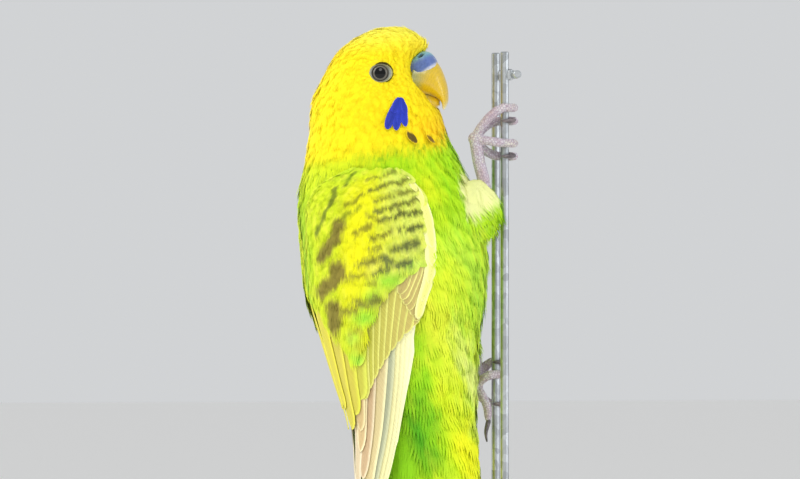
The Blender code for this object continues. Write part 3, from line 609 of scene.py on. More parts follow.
def set_inputs(modifier, **values):
    """Set a node modifier's inputs by their names in its tree."""
    for item in modifier.node_group.interface.items_tree:
        if item.item_type == 'SOCKET' and item.in_out == 'INPUT' and item.name in values:
            modifier[item.identifier] = values[item.name]


skin_points = vertex_places(skin_surface) / MM
skin_normals = vertex_normals(skin_surface)
skin_depths, skin_around, skin_side_x = body_place(skin_points)


def coat_flow():
    """Direction of the coat at each point of the skin: back from the bill, then down the body."""
    source = head_place(*FACE_SOURCE)
    away = skin_points - source
    far = np.linalg.norm(away, axis=1, keepdims=True)
    back = away / far
    down = np.zeros_like(away)
    down[:, 2] = -1.0
    fall = ease(9.0, 34.0, far[:, 0])[:, None]
    flow = back * (1.0 - fall) + down * fall * 1.3
    front = (1.0 - ease(60.0, 110.0, skin_around)) * ease(40.0, 56.0, skin_depths)
    flow[:, 0] += 0.42 * front * (1.0 - ease(104.0, 125.0, skin_depths))
    flow[:, 0] -= 0.2 * ease(118.0, 130.0, skin_depths)
    flow[:, 1] *= 1.0 - 0.6 * ease(40.0, 60.0, skin_depths)
    flow -= skin_normals * np.sum(flow * skin_normals, axis=1, keepdims=True)
    flow /= np.maximum(np.linalg.norm(flow, axis=1, keepdims=True), 1e-6)
    thigh = ease(0.92, 1.05, in_thigh(skin_points, 0.0))[:, None]
    flow = flow * (1.0 - thigh) + np.array([0.45, 0.0, -0.9]) * thigh
    rise = 0.03 + 0.05 * ease(36.0, 60.0, skin_depths) * (1.0 - ease(70.0, 110.0, skin_around))
    rump = (ease(120.0, 150.0, skin_around) * ease(100.0, 110.0, skin_depths)
            * (1.0 - ease(126.0, 134.0, skin_depths)))
    return flow + skin_normals * (rise - 0.28 * rump)[:, None]


def eye_distance(side):
    """Millimetres from each point of the skin to the middle of an eye's bare patch."""
    middle = head_place(EYE_PLACE[0], side * EYE_PLACE[1], EYE_PLACE[2])
    return np.linalg.norm(skin_points - middle, axis=1)


def coat_size():
    """Length of the feathers in metres at each point of the skin."""
    size = np.interp(skin_depths, FEATHER_DEPTHS, FEATHER_LENGTHS)
    bill = np.linalg.norm(skin_points - head_place(*BEAK_PLACE), axis=1)
    size = size * (0.5 + 0.5 * ease(4.5, 13.0, bill))
    for side in (-1, 1):
        size = size * (0.42 + 0.58 * ease(2.8, 8.0, eye_distance(side)))
    thigh = ease(0.85, 1.0, in_thigh(skin_points, 0.0))
    return (size * (1.0 - thigh) + THIGH_FEATHER * thigh) * MM


def bare_places():
    """1 where feathers grow, and 0 on the eye, the cere and the bill."""
    grown = np.ones(len(skin_points))
    for side in (-1, 1):
        grown *= ease(BARE_EYE - 0.3, BARE_EYE, eye_distance(side))
    cere = np.linalg.norm(skin_points - head_place(*CERE_PLACE), axis=1)
    beak = (skin_points - head_place(*BEAK_PLACE)) / np.array([5.2, 5.2, 4.4])
    return grown * ease(3.9, 4.4, cere) * ease(0.85, 1.0, np.linalg.norm(beak, axis=1))


set_values(skin_surface, "flow", "FLOAT_VECTOR", coat_flow())
set_values(skin_surface, "size", "FLOAT", coat_size())
coat_scatter = coat_tree()

# Soft keratin barbs: matt with a faint bloom, a little paler towards the tips, and darker towards
# the root, partly the feather's own greyer base and partly painted shade under the next feathers
coat_finish, shader, tree = new_material("soft_contour_feather", "#D8E020", 0.75, IOR=1.54,
                                         Specular_IOR_Level=0.2, Sheen_Weight=0.03)
tint = add_node(tree, "ShaderNodeAttribute", attribute_name="tint")
along = add_node(tree, "ShaderNodeAttribute", attribute_name="along")
place = add_node(tree, "ShaderNodeTexCoord")
streak = add_node(tree, "ShaderNodeTexNoise",
                  {"Vector": place.outputs["Object"], "Scale": 1500.0, "Detail": 2.0})
# Darker towards the root: partly the feather's own greyer base and partly painted shade where the next
# feathers lie over it
root_grey_and_shade = add_node(tree, "ShaderNodeMapRange", {"Value": along.outputs["Fac"], 3: 0.93, 4: 1.05})
fine_tone = add_node(tree, "ShaderNodeMapRange", {"Value": streak.outputs["Fac"], 3: 0.93, 4: 1.07})
tone = add_node(tree, "ShaderNodeMath", {0: root_grey_and_shade.outputs[0], 1: fine_tone.outputs[0]},
                operation='MULTIPLY')
shaded = add_node(tree, "ShaderNodeVectorMath", {0: tint.outputs["Color"], "Scale": tone.outputs[0]},
                  operation='SCALE')
tree.links.new(shaded.outputs["Vector"], shader.inputs["Base Color"])


def tuft_map(mesh, roots, offsets):
    """Each tuft is a small patch of the map, at its root's place on the skin's unwrap."""
    set_map(mesh, np.clip(unwrap(roots) + 0.003 * offsets, 0.0, 1.0))


def softened(mesh, up, share):
    """Turn the shading normals part of the way to the skin's, as downy feathers scatter light."""
    normals = vertex_normals(mesh)
    facing = np.sign(np.sum(normals * up, axis=1, keepdims=True))
    normals = normals * (1.0 - share) + up * share * np.where(facing == 0.0, 1.0, facing)
    normals /= np.maximum(np.linalg.norm(normals, axis=1, keepdims=True), 1e-6)
    mesh.normals_split_custom_set_from_vertices(normals.tolist())


def coat_piece(name, surface, spacing, disorder, seed, slot, colours=plumage):
    """One piece of the coat over a surface that holds its share, flow and size."""
    helper = helper_object(name, surface)
    scatter = helper.modifiers.new("scatter", 'NODES')
    scatter.node_group = coat_scatter
    set_inputs(scatter, Spacing=spacing * MM, Disorder=disorder, Seed=seed, Finish=coat_finish)
    mesh = applied_mesh(helper)
    places = vertex_places(mesh)
    places[:, 2] = np.minimum(places[:, 2], (CROWN_Z - 0.02) * MM)
    mesh.vertices.foreach_set("co", places.astype(np.float32).ravel())
    roots = get_values(mesh, "root", 3).astype(float)
    single, which = np.unique(roots, axis=0, return_inverse=True)
    which = which.ravel()
    tones = np.random.default_rng(seed).normal(1.0, TUFT_VARIATION, len(single))
    tint = np.clip(colours(places) * tones[which][:, None], 0.0, 1.0)
    set_values(mesh, "tint", "FLOAT_COLOR", with_alpha(tint))
    offsets = np.stack([get_values(mesh, "across", 1), get_values(mesh, "along", 1) - 0.5], -1)
    tuft_map(mesh, roots, offsets)
    softened(mesh, get_values(mesh, "up", 3).astype(float), TUFT_SOFTNESS)
    for used in ("root", "reach", "up", "across", "share", "flow", "size"):
        if used in mesh.attributes:
            mesh.attributes.remove(mesh.attributes[used])
    piece = new_piece(name, mesh, coat_finish)
    return piece


# The folded wing: depth, x of the front edge, back edge in degrees from the middle of the back
WING_STATIONS = (
    (36.8, -3.5, 62.0),
    (42.5, 1.2, 30.0),
    (51.0, 4.4, 16.0),
    (63.5, 5.2, 10.0),
    (72.8, 2.4, 8.0),
    (86.0, 0.0, 7.0),
    (99.6, -2.2, 7.0),
    (116.0, -5.0, 8.0),
    (127.4, -9.3, 14.0),
)
# Depth, and degrees round from the front at the coat's edge under the wing
WING_COAT_DEPTHS = (36.8, 42.5, 51.0, 63.5, 127.0)
WING_COAT_ANGLES = (118.0, 142.0, 152.0, 160.0, 168.0)

grown = bare_places()
thigh_share = ease(0.92, 1.0, in_thigh(skin_points, -0.6))
station_depths, station_x, _ = np.array(WING_STATIONS).T
wing_front_x = np.interp(skin_depths, station_depths, station_x)
wing_back_angle = np.interp(skin_depths, WING_COAT_DEPTHS, WING_COAT_ANGLES)
under_wing = (ease(0.6, 1.8, wing_front_x - skin_points[:, 0]) * ease(39.0, 41.0, skin_depths)
              * (1.0 - ease(-20.0, -13.0, skin_around - wing_back_angle)))
hidden = under_wing * (1.0 - ease(82.0, 90.0, skin_depths))
sparse = 0.5 * under_wing * ease(82.0, 90.0, skin_depths)
cover = grown * (1.0 - thigh_share) * (1.0 - hidden) * (1.0 - sparse)
lower = 1.0 - ease(24.0, 27.0, skin_depths)
front_half = 1.0 - ease(92.0, 100.0, skin_around)
chest = ease(38.0, 42.0, skin_depths)
loin = ease(78.0, 84.0, skin_depths)
vent = ease(112.0, 118.0, skin_depths)
# Name, share of the skin, spacing, disorder, seed and slot
COAT_REGIONS = (
    ("coat_head", cover * lower, 0.50, 0.14, 1, "head_feathers"),
    ("coat_neck", cover * (1.0 - lower) * (1.0 - chest), 0.60, 0.16, 2, "head_feathers"),
    ("coat_breast", cover * chest * (1.0 - loin) * front_half, 0.66, 0.18, 3, "body_feathers"),
    ("coat_belly", cover * loin * (1.0 - vent) * front_half, 0.72, 0.18, 4, "body_feathers"),
    ("coat_back", cover * chest * (1.0 - vent) * (1.0 - front_half), 0.75, 0.14, 5, "body_feathers"),
    ("coat_undertail", cover * vent * (1.0 - ease(145.0, 148.0, skin_depths)), 1.0, 0.12, 6, "body_feathers"),
    ("coat_thighs", grown * thigh_share, 0.55, 0.22, 7, "thigh_feathers"),
)
for name, share, *growth in COAT_REGIONS:
    surface = skin_surface.copy()
    set_values(surface, "share", "FLOAT", share)
    coat_piece(name, surface, *growth)


# Wings
# A folded wing is a stack of stiff vanes: small barred coverts over the arm, then the greater
# coverts, the tertials and secondaries, and the long primaries under them all. Each vane is one
# curved keratin sheet, laid over the ones beyond it. The coverts' barbs are loose and soft.

# Depth, back x, x of the widest place, half width of the surface that the wings lie on
WING_GUIDE = (
    (36.0, -26.0, -5.0, 19.2),
    (44.5, -27.5, -4.0, 22.3),
    (57.0, -26.4, -3.0, 23.8),
    (70.0, -24.6, -3.0, 23.8),
    (81.0, -21.4, -2.5, 22.2),
    (92.0, -17.9, -1.5, 19.3),
    (105.0, -13.9, 0.0, 15.0),
    (118.0, -12.9, 0.0, 11.5),
    (128.0, -11.0, 0.0, 8.6),
)
VANE_COLUMNS = 9
VANE_ROWS = 15
BODY_ROWS_END = 122.0
WING_SPAN = 30.0                    # millimetres round the wing for one whole share


def wing_edges(depth):
    """Back reach, middle, front reach, half width, front angle and back angle of the wing."""
    back, middle, half = np.moveaxis(table_curve(WING_GUIDE, depth), -1, 0)
    front = table_curve(BODY_STATIONS, np.minimum(depth, BODY_ROWS_END))[..., 2]
    edge_x, back_degrees = np.moveaxis(table_curve(WING_STATIONS, depth), -1, 0)
    reach = np.where(edge_x > middle, front - middle, middle - back)
    front_angle = math.pi / 2 - np.arcsin(np.clip((edge_x - middle) / reach, -1.0, 1.0))
    return back, middle, front, half, front_angle, math.pi - np.radians(back_degrees)


def wing_surface(depth, share):
    """Point on the folded right wing: share runs from 0 at its front edge to 1 at its back edge."""
    depth, share = np.broadcast_arrays(depth, share)
    back, middle, front, half, front_angle, back_angle = wing_edges(depth)
    return oval_point(back, middle, front, half, depth, -(front_angle + (back_angle - front_angle) * share))


def wing_place(points):
    """Depth and share on the wing of points in millimetres, the same for both wings."""
    depth = CROWN_Z - points[:, 2]
    back, middle, front, half, front_angle, back_angle = wing_edges(depth)
    forward = points[:, 0] - middle
    reach = np.where(forward > 0.0, front - middle, middle - back)
    angle = np.arctan2(np.abs(points[:, 1]) / half, forward / reach)
    return depth, (angle - front_angle) / (back_angle - front_angle)


def wing_normal(depth, share):
    return -surface_normal(wing_surface, depth, share, 0.05, 0.002)


# Depth, share, half height, half share, colour and strength of the coverts' larger patches
WING_PATCHES = (
    (45.0, 0.46, 4.0, 0.10, "#F2F00C", 0.7),
    (52.0, 0.52, 5.0, 0.09, "#F6F206", 0.8),
    (60.0, 0.50, 5.0, 0.10, "#F8F208", 0.85),
    (63.0, 0.40, 2.0, 0.05, "#EEEC6A", 0.6),
    (69.0, 0.52, 3.0, 0.08, "#ECEC1C", 0.7),
    (61.0, 0.93, 9.0, 0.05, "#A6D418", 0.7),
    (50.0, 0.62, 3.0, 0.06, "#BFD21E", 0.6),
    (62.5, 0.14, 1.6, 0.07, "#A8E43A", 0.7),
    (66.4, 0.28, 2.0, 0.09, "#9EE63C", 0.85),
    (70.5, 0.37, 2.2, 0.06, "#ACE43C", 0.8),
    (76.2, 0.42, 2.2, 0.12, "#A6EA42", 0.9),
    (81.5, 0.55, 2.4, 0.08, "#B6EA48", 0.8),
    (87.0, 0.54, 2.0, 0.10, "#AEEE4C", 0.9),
    (83.8, 0.50, 1.6, 0.07, "#C8C83C", 0.6),
    (81.0, 0.74, 2.6, 0.08, "#DCE63A", 0.7),
)
# Half width, strength and colour of the dark bars, and of two lines of painted shade, then depth
# and share along each
WING_BARS = (
    (0.35, 0.6, "#83942A", ((36.2, 0.32), (36.7, 0.49))),
    (0.42, 0.7, "#83842A", ((39.7, 0.34), (40.4, 0.50))),
    (0.45, 0.8, "#7C802C", ((38.1, 0.14), (39.2, 0.32))),
    (0.48, 0.9, "#75782C", ((39.9, 0.02), (41.2, 0.16), (41.5, 0.25), (42.5, 0.36), (43.4, 0.44))),
    (0.48, 0.85, "#7A7C2C", ((43.0, 0.02), (43.7, 0.11), (44.2, 0.21), (45.0, 0.30), (46.2, 0.37))),
    (0.50, 0.95, "#72762E", ((45.4, 0.03), (46.2, 0.14), (47.0, 0.22), (48.1, 0.29), (48.6, 0.38))),
    (0.55, 1.0, "#6A7030", ((48.5, 0.06), (49.2, 0.14), (49.5, 0.21), (50.3, 0.28), (51.4, 0.35))),
    (0.50, 0.75, "#8C8624", ((49.8, 0.44), (50.6, 0.38), (51.0, 0.36))),
    (0.55, 0.85, "#8A8222", ((52.2, 0.41), (53.2, 0.46), (54.6, 0.52))),
    (0.55, 0.95, "#7C7A26", ((53.8, 0.27), (54.9, 0.34), (55.8, 0.41))),
    (0.62, 1.0, "#646C32", ((52.3, 0.08), (53.1, 0.14), (53.4, 0.22))),
    (1.05, 0.95, "#646C38", ((56.4, 0.12), (57.5, 0.18), (58.6, 0.25))),
    (0.60, 0.8, "#7E7C2C", ((58.0, 0.36), (58.7, 0.42))),
    (0.85, 0.9, "#787630", ((60.6, 0.36), (61.6, 0.42), (62.3, 0.49))),
    (1.05, 0.95, "#606A3E", ((60.8, 0.33), (61.8, 0.28), (62.6, 0.23), (61.9, 0.17))),
    (0.70, 0.9, "#5E6638", ((63.4, 0.30), (64.6, 0.38))),
    (0.62, 0.75, "#8C862A", ((65.2, 0.45), (65.8, 0.56))),
    (0.50, 0.6, "#848234", ((67.2, 0.37), (67.7, 0.43))),
    (1.05, 0.9, "#7A7A38", ((71.2, 0.33), (72.4, 0.41), (72.0, 0.49))),
    (0.90, 0.85, "#847C2E", ((73.8, 0.50), (74.4, 0.59))),
    (0.95, 0.5, "#9A8C3A", ((79.4, 0.48), (79.9, 0.56))),
    (0.50, 0.8, "#86861E", ((44.2, 0.48), (45.9, 0.54), (47.1, 0.60))),
    (0.60, 0.7, "#7C8A1E", ((47.6, 0.50), (49.0, 0.56), (50.0, 0.61))),
    # Painted shade: the next two dark green lines run down the wing where the mantle's feathers meet it
    (0.65, 0.7, "#5C7A1A", ((38.6, 0.78), (40.3, 0.70), (42.2, 0.67))),
    (0.70, 0.8, "#5E6E22", ((42.7, 0.75), (44.8, 0.71), (46.6, 0.73), (48.5, 0.76), (51.1, 0.79),
                            (54.5, 0.84))),
    (1.70, 0.92, "#7C6E30", ((52.0, 0.645), (55.5, 0.665), (60.6, 0.79))),
    (2.10, 0.92, "#7E6E32", ((63.6, 0.645), (66.2, 0.67), (69.4, 0.80))),
    (2.20, 0.9, "#7E6E34", ((73.4, 0.69), (76.0, 0.69), (78.6, 0.73))),
)


def line_distance(depth, share, places):
    """Millimetres from places on the wing to a bent line on it."""
    here = np.stack([depth, share * WING_SPAN], -1)
    nearest = np.full(len(here), 1e3)
    for start, end in zip(places, places[1:]):
        start = np.array([start[0], start[1] * WING_SPAN])
        way = np.array([end[0], end[1] * WING_SPAN]) - start
        along = np.clip((here - start) @ way / (way @ way), 0.0, 1.0)
        nearest = np.minimum(nearest, np.linalg.norm(here - start - along[:, None] * way, axis=1))
    return nearest


def wing_plumage(points):
    """Linear colour of the coverts at points in metres, the same on both wings."""
    points = points / MM
    depth, share = wing_place(points)
    depth = depth + 0.2 * soft_noise(points, 1.3, 31)
    ragged = 0.10 * soft_noise(points, 0.55, 32) + 0.12 * soft_noise(points, 1.6, 33)
    front = 1.0 - ease(0.16, 0.42, share)
    colour = np.tile(linear("#E2E616"), (len(points), 1))
    colour = painted(colour, "#C4D65A", 0.85 * front)
    colour = painted(colour, "#C4DE1E", 0.7 * ease(0.56, 0.70, share))
    colour = painted(colour, "#B4DC22", 0.6 * (1.0 - ease(37.0, 43.0, depth)))
    colour = painted(colour, "#F2F048", 0.45 * ease(0.0, 0.9, soft_noise(points, 1.0, 34)))
    colour = painted(colour, "#A8C02A", 0.35 * ease(0.2, 1.0, soft_noise(points, 0.9, 35)))
    for centre, middle, half_height, half_share, tone, strength in WING_PATCHES:
        away = ((depth - centre) / half_height) ** 2 + ((share - middle) / half_share) ** 2
        colour = painted(colour, tone, strength * np.exp(-away))
    for half_width, strength, tone, places in WING_BARS:
        away = line_distance(depth, share, places) + ragged * (1.0 + 0.8 * half_width)
        colour = painted(colour, "#E6EE6C", 0.65 * front * np.exp(-((away - half_width - 0.75) / 0.35) ** 2))
        inside = 1.0 - ease(half_width * 0.55, half_width * 1.25 + 0.12, away)
        colour = painted(colour, tone, strength * inside)
    return colour


def covert_outline(v):
    return (0.55 + 0.45 * ease(0.0, 0.45, v)) * np.sqrt(1.0 - np.clip((v - 0.58) / 0.42, 0.0, 1.0) ** 2.2)


def blade_outline(v):
    body = (0.6 + 0.4 * ease(0.0, 0.35, v)) * (1.0 - 0.22 * ease(0.5, 0.9, v))
    return body * np.sqrt(1.0 - np.clip((v - 0.88) / 0.12, 0.0, 1.0) ** 2.0)


def pointed_outline(v):
    body = (0.6 + 0.4 * ease(0.0, 0.3, v)) * (1.0 - 0.3 * ease(0.35, 0.85, v))
    return body * (1.0 - np.clip((v - 0.72) / 0.28, 0.0, 1.0) ** 2.4)


def vane_look(ground, edge, edge_width=0.5, tone=1.0, paint=None, mark=None, mark_from=50.0, mark_to=60.0):
    """Colours of a vane, the width of its edge, and where its dark mark lies from the tip."""
    return {"ground": linear(ground) * tone, "mark": linear(mark or ground) * tone,
            "edge": linear(edge) * tone, "edge_width": edge_width, "mark_from": mark_from,
            "mark_to": mark_to, "paint": paint}


class VaneSheet:
    """Vanes of one piece on one surface, gathered before they become a mesh."""

    def __init__(self, surface, normal):
        self.surface = surface
        self.normal = normal
        self.points = []
        self.faces = []
        self.count = 0
        self.vanes = 0
        self.fields = {name: [] for name in ("rim", "inset", "across", "barb", "edge_width", "mark_from",
                                             "mark_to", "ground", "mark", "edge")}
        self.cells = []

    def lay(self, root, tip, half_width, lifts, outline, look, bend=0.0, roll=-0.2, cup=0.1):
        """Lay one vane on the surface from a root place to a tip place; look holds its colours."""
        spread = np.linspace(0.0, 1.0, VANE_ROWS)
        v = 1.0 - (1.0 - spread) ** 1.5
        u = np.linspace(-1.0, 1.0, VANE_COLUMNS)
        v_grid, u_grid = np.meshgrid(v, u, indexing="ij")
        depth = root[0] + (tip[0] - root[0]) * v_grid
        place = root[1] + (tip[1] - root[1]) * v_grid + bend * np.sin(math.pi * v_grid)
        step = 0.004
        sideways = self.surface(depth, place + step) - self.surface(depth, place - step)
        scale = np.linalg.norm(sideways, axis=-1) / (2 * step)
        run = np.array([tip[0] - root[0], (tip[1] - root[1]) * scale.mean()])
        length = np.linalg.norm(run)
        run /= length
        width = half_width * outline(v_grid)
        x = u_grid * width
        depth = depth - x * run[1]
        place = place + x * run[0] / scale
        lift = lifts[0] + (lifts[1] - lifts[0]) * v_grid + roll * u_grid - cup * u_grid ** 2
        points = self.surface(depth, place) + self.normal(depth, place) * lift[..., None]
        points = points.reshape(-1, 3)
        from_tip = (1.0 - v_grid) * length
        self.points.append(points)
        self.faces += [tuple(self.count + i for i in face)
                       for face in grid_faces(VANE_ROWS, VANE_COLUMNS, False)]
        size = VANE_ROWS * VANE_COLUMNS
        self.count += size
        self.fields["rim"].append(((1.0 - np.abs(u_grid)) * width).ravel())
        self.fields["inset"].append((from_tip - 0.5 * x ** 2 / half_width).ravel())
        self.fields["across"].append(x.ravel())
        self.fields["barb"].append((from_tip + 1.1 * np.abs(x) + 7.3 * self.vanes).ravel())
        for key in ("edge_width", "mark_from", "mark_to"):
            self.fields[key].append(np.full(size, look[key]))
        if look["paint"]:
            painted_ground = look["paint"](points * MM)
            self.fields["ground"].append(painted_ground)
            self.fields["mark"].append(painted_ground)
            self.fields["edge"].append(painted_ground * 0.65 + look["edge"] * 0.35)
        else:
            for key in ("ground", "mark", "edge"):
                self.fields[key].append(np.tile(look[key], (size, 1)))
        self.cells.append(np.stack([u_grid * 0.46 + 0.5, v_grid * 0.92 + 0.04], -1).reshape(-1, 2))
        self.vanes += 1

    def piece(self, name, material, mirrored, slot, thickness=0.0):
        """The vanes as one piece of the model, with its own atlas of vanes."""
        points = np.concatenate(self.points)
        faces = self.faces
        if mirrored:
            points = points * np.array([1.0, -1.0, 1.0])
        else:
            faces = [face[::-1] for face in faces]
        mesh = mesh_from(name, points, faces)
        for key, values in self.fields.items():
            values = np.concatenate(values)
            if values.ndim == 2:
                set_values(mesh, key, "FLOAT_COLOR", with_alpha(values))
            else:
                set_values(mesh, key, "FLOAT", values)
        across = math.ceil(math.sqrt(self.vanes))
        cells = np.concatenate([(cell + np.array([k % across, k // across])) / across
                                for k, cell in enumerate(self.cells)])
        set_map(mesh, cells)
        if thickness:
            helper = helper_object(name, mesh)
            wall = helper.modifiers.new("thickness", 'SOLIDIFY')
            wall.thickness = thickness * MM
            wall.offset = -1.0
            mesh = applied_mesh(helper)
        piece = new_piece(name, mesh, material)
        return piece


# Flat keratin vane: a slight gloss, fine slanting barbs drawn four times too coarse so that they
# show, a dark mark set in from a pale edge, and a shaft along the middle
vane_finish, shader, tree = new_material("keratin_wing_vane", "#D0D040", 0.6, IOR=1.54,
                                         Specular_IOR_Level=0.3)
fields = {name: add_node(tree, "ShaderNodeAttribute", attribute_name=name).outputs
          for name in ("inset", "rim", "mark_from", "mark_to", "ground", "mark", "edge_width", "edge",
                       "barb", "across")}
place = add_node(tree, "ShaderNodeTexCoord")
wander = add_node(tree, "ShaderNodeTexNoise",
                  {"Vector": place.outputs["Object"], "Scale": 1300.0, "Detail": 2.0})
wander = add_node(tree, "ShaderNodeMapRange", {0: wander.outputs["Fac"], 3: -0.45, 4: 0.45})
inset = add_node(tree, "ShaderNodeMath", {0: fields["inset"]["Fac"], 1: wander.outputs[0]},
                 operation='ADD')
rim = add_node(tree, "ShaderNodeMath", {0: wander.outputs[0], 1: 0.35, 2: fields["rim"]["Fac"]},
               operation='MULTIPLY_ADD')
begin = add_node(tree, "ShaderNodeMath", {0: inset.outputs[0], 1: fields["mark_from"]["Fac"]},
                 operation='SUBTRACT')
begin = add_node(tree, "ShaderNodeMapRange", {0: begin.outputs[0], 1: -0.25, 2: 0.25},
                 interpolation_type='SMOOTHSTEP')
finish = add_node(tree, "ShaderNodeMath", {0: inset.outputs[0], 1: fields["mark_to"]["Fac"]},
                  operation='SUBTRACT')
finish = add_node(tree, "ShaderNodeMapRange", {0: finish.outputs[0], 1: -0.5, 2: 0.5, 3: 1.0, 4: 0.0},
                  interpolation_type='SMOOTHSTEP')
marked = add_node(tree, "ShaderNodeMath", {0: begin.outputs[0], 1: finish.outputs[0]}, operation='MULTIPLY')
marked = add_node(tree, "ShaderNodeMath", {0: marked.outputs[0], 1: 0.92}, operation='MULTIPLY')
paint = add_node(tree, "ShaderNodeMix",
                 {0: marked.outputs[0], 6: fields["ground"]["Color"], 7: fields["mark"]["Color"]},
                 data_type='RGBA')
edging = add_node(tree, "ShaderNodeMath", {0: rim.outputs[0], 1: fields["edge_width"]["Fac"]},
                  operation='DIVIDE')
edging = add_node(tree, "ShaderNodeMapRange", {0: edging.outputs[0], 1: 0.2, 2: 1.5, 3: 1.0, 4: 0.0},
                  interpolation_type='SMOOTHSTEP')
paint = add_node(tree, "ShaderNodeMix",
                 {0: edging.outputs[0], 6: paint.outputs[2], 7: fields["edge"]["Color"]}, data_type='RGBA')
barbs = add_node(tree, "ShaderNodeTexNoise", {"W": fields["barb"]["Fac"], "Scale": 2.2, "Detail": 2.0},
                 noise_dimensions='1D')
barb_tone = add_node(tree, "ShaderNodeMapRange", {0: barbs.outputs["Fac"], 1: 0.3, 2: 0.7, 3: 0.9, 4: 1.07})
shaft = add_node(tree, "ShaderNodeMath", {0: fields["across"]["Fac"]}, operation='ABSOLUTE')
shaft_tone = add_node(tree, "ShaderNodeMapRange", {0: shaft.outputs[0], 1: 0.05, 2: 0.2, 3: 0.9, 4: 1.0})
tone = add_node(tree, "ShaderNodeMath", {0: barb_tone.outputs[0], 1: shaft_tone.outputs[0]},
                operation='MULTIPLY')
paint = add_node(tree, "ShaderNodeVectorMath", {0: paint.outputs[2], "Scale": tone.outputs[0]},
                 operation='SCALE')
tree.links.new(paint.outputs[0], shader.inputs["Base Color"])
relief = add_node(tree, "ShaderNodeBump",
                  {"Height": barbs.outputs["Fac"], "Strength": 0.35, "Distance": 0.0002})
tree.links.new(relief.outputs["Normal"], shader.inputs["Normal"])


# Front tip depth, back tip depth, from share, to share, vanes, half width, length
COVERT_ROWS = (
    (41.4, 45.0, 0.03, 0.60, 9, 2.0, 4.4),
    (44.4, 48.0, 0.03, 0.60, 9, 2.2, 6.2),
    (47.2, 51.2, 0.03, 0.60, 9, 2.4, 7.0),
    (50.4, 54.6, 0.03, 0.58, 8, 2.6, 7.5),
    (54.2, 58.6, 0.04, 0.58, 8, 2.8, 8.5),
    (58.6, 62.8, 0.06, 0.56, 7, 3.0, 9.5),
)
# Tip depth, tip share, half width, length
GREATER_COVERTS = (
    (63.0, 0.07, 2.8, 12.0),
    (65.0, 0.14, 3.0, 14.0),
    (67.6, 0.22, 3.2, 15.0),
    (70.4, 0.30, 3.4, 16.0),
    (74.4, 0.37, 3.4, 17.0),
    (78.4, 0.44, 3.6, 18.0),
    (83.0, 0.56, 4.0, 20.0),
    (88.6, 0.54, 3.8, 20.0),
    (73.0, 0.54, 3.8, 16.0),
)
SCAPULARS = (
    (50.0, 0.72, 3.0, 10.0),
    (52.0, 0.86, 2.8, 9.0),
    (56.0, 0.64, 3.2, 12.0),
    (61.6, 0.79, 4.0, 14.0),
    (62.0, 0.92, 3.0, 13.0),
    (70.6, 0.77, 4.2, 16.0),
    (71.0, 0.92, 3.2, 14.0),
    (80.6, 0.73, 4.2, 17.0),
    (79.0, 0.90, 3.4, 14.0),
)


def coverts(random):
    """The vanes under the soft barbs, rows from the wing's tip end up to its shoulder."""
    sheet = VaneSheet(wing_surface, wing_normal)
    for tip, share, half, length in GREATER_COVERTS:
        look = vane_look("#E0E83C", "#D8F05A", 0.7, paint=wing_plumage)
        sheet.lay((tip - length, share + 0.03), (tip, share), half,
                  (-1.35, -0.3 + 0.12 * share), covert_outline, look)
    for row, (front_tip, back_tip, start, end, count, half, length) in enumerate(COVERT_ROWS):
        for k in range(count):
            share = start + (end - start) * (k + 0.5 * (row % 2)) / (count - 0.5)
            tip = front_tip + (back_tip - front_tip) * (share - 0.05) / 0.5 + random.uniform(-0.4, 0.4)
            level = -0.1 - 0.02 * row
            look = vane_look("#E0E83C", "#F0F46A", 0.35, paint=wing_plumage)
            sheet.lay((max(tip - length, 37.4), share + 0.02), (tip, share), half,
                      (level - 0.9, level), covert_outline, look)
    for tip, share, half, length in SCAPULARS:
        level, cup = (0.0, 0.1) if share < 0.85 else (-0.35, 0.5)
        look = vane_look("#E0E83C", "#E2EA30", 0.6, paint=wing_plumage)
        sheet.lay((max(tip - length, 38.5), share - 0.01), (tip, share), half,
                  (-0.9, level), covert_outline, look, cup=cup)
    return sheet


# Root depth and share, tip depth and share, half width, lift, ground and edge colours
TERTIALS = (
    ((62.0, 0.54), (97.5, 0.60), 4.2, -0.56, "#C4C244", "#DEE458"),
    ((62.0, 0.64), (101.5, 0.74), 4.2, -0.48, "#CEC444", "#E2E448"),
    ((64.0, 0.76), (105.3, 0.93), 4.3, -0.40, "#CFC548", "#EAE44A"),
    ((66.0, 0.93), (100.0, 1.00), 3.8, -0.32, "#DAD03E", "#F0E83A"),
)
SECONDARY_COUNT = 9
PRIMARY_COVERT_COUNT = 6
MARGINAL_COUNT = 5
# Tip depth, tip share, bend, lift, ground and edge colours, from the inner one out
PRIMARIES = (
    (105.6, 0.70, -0.02, -0.66, "#D2B77E", "#F4E6AE"),
    (111.0, 0.74, -0.02, -0.76, "#CFB480", "#F6E8B8"),
    (118.2, 0.66, -0.02, -0.86, "#CDB086", "#F4E4BC"),
    (127.0, 1.05, 0.03, -1.00, "#D8C6A0", "#F2E6C4"),
    (124.0, 0.52, -0.02, -0.96, "#DCCB94", "#FAF4BE"),
    (125.0, 0.40, -0.02, -1.06, "#AFB594", "#DADDB0"),
    (126.6, 0.29, 0.0, -1.16, "#E4DEA0", "#FBF8B8"),
    (127.3, 0.19, 0.01, -1.26, "#F0EAAC", "#FDFBBF"),
    (124.0, 0.12, 0.02, -1.36, "#F6F2B4", "#FEFDC4"),
    (112.0, 0.09, 0.02, -1.46, "#F8F5B8", "#FFFECC"),
)


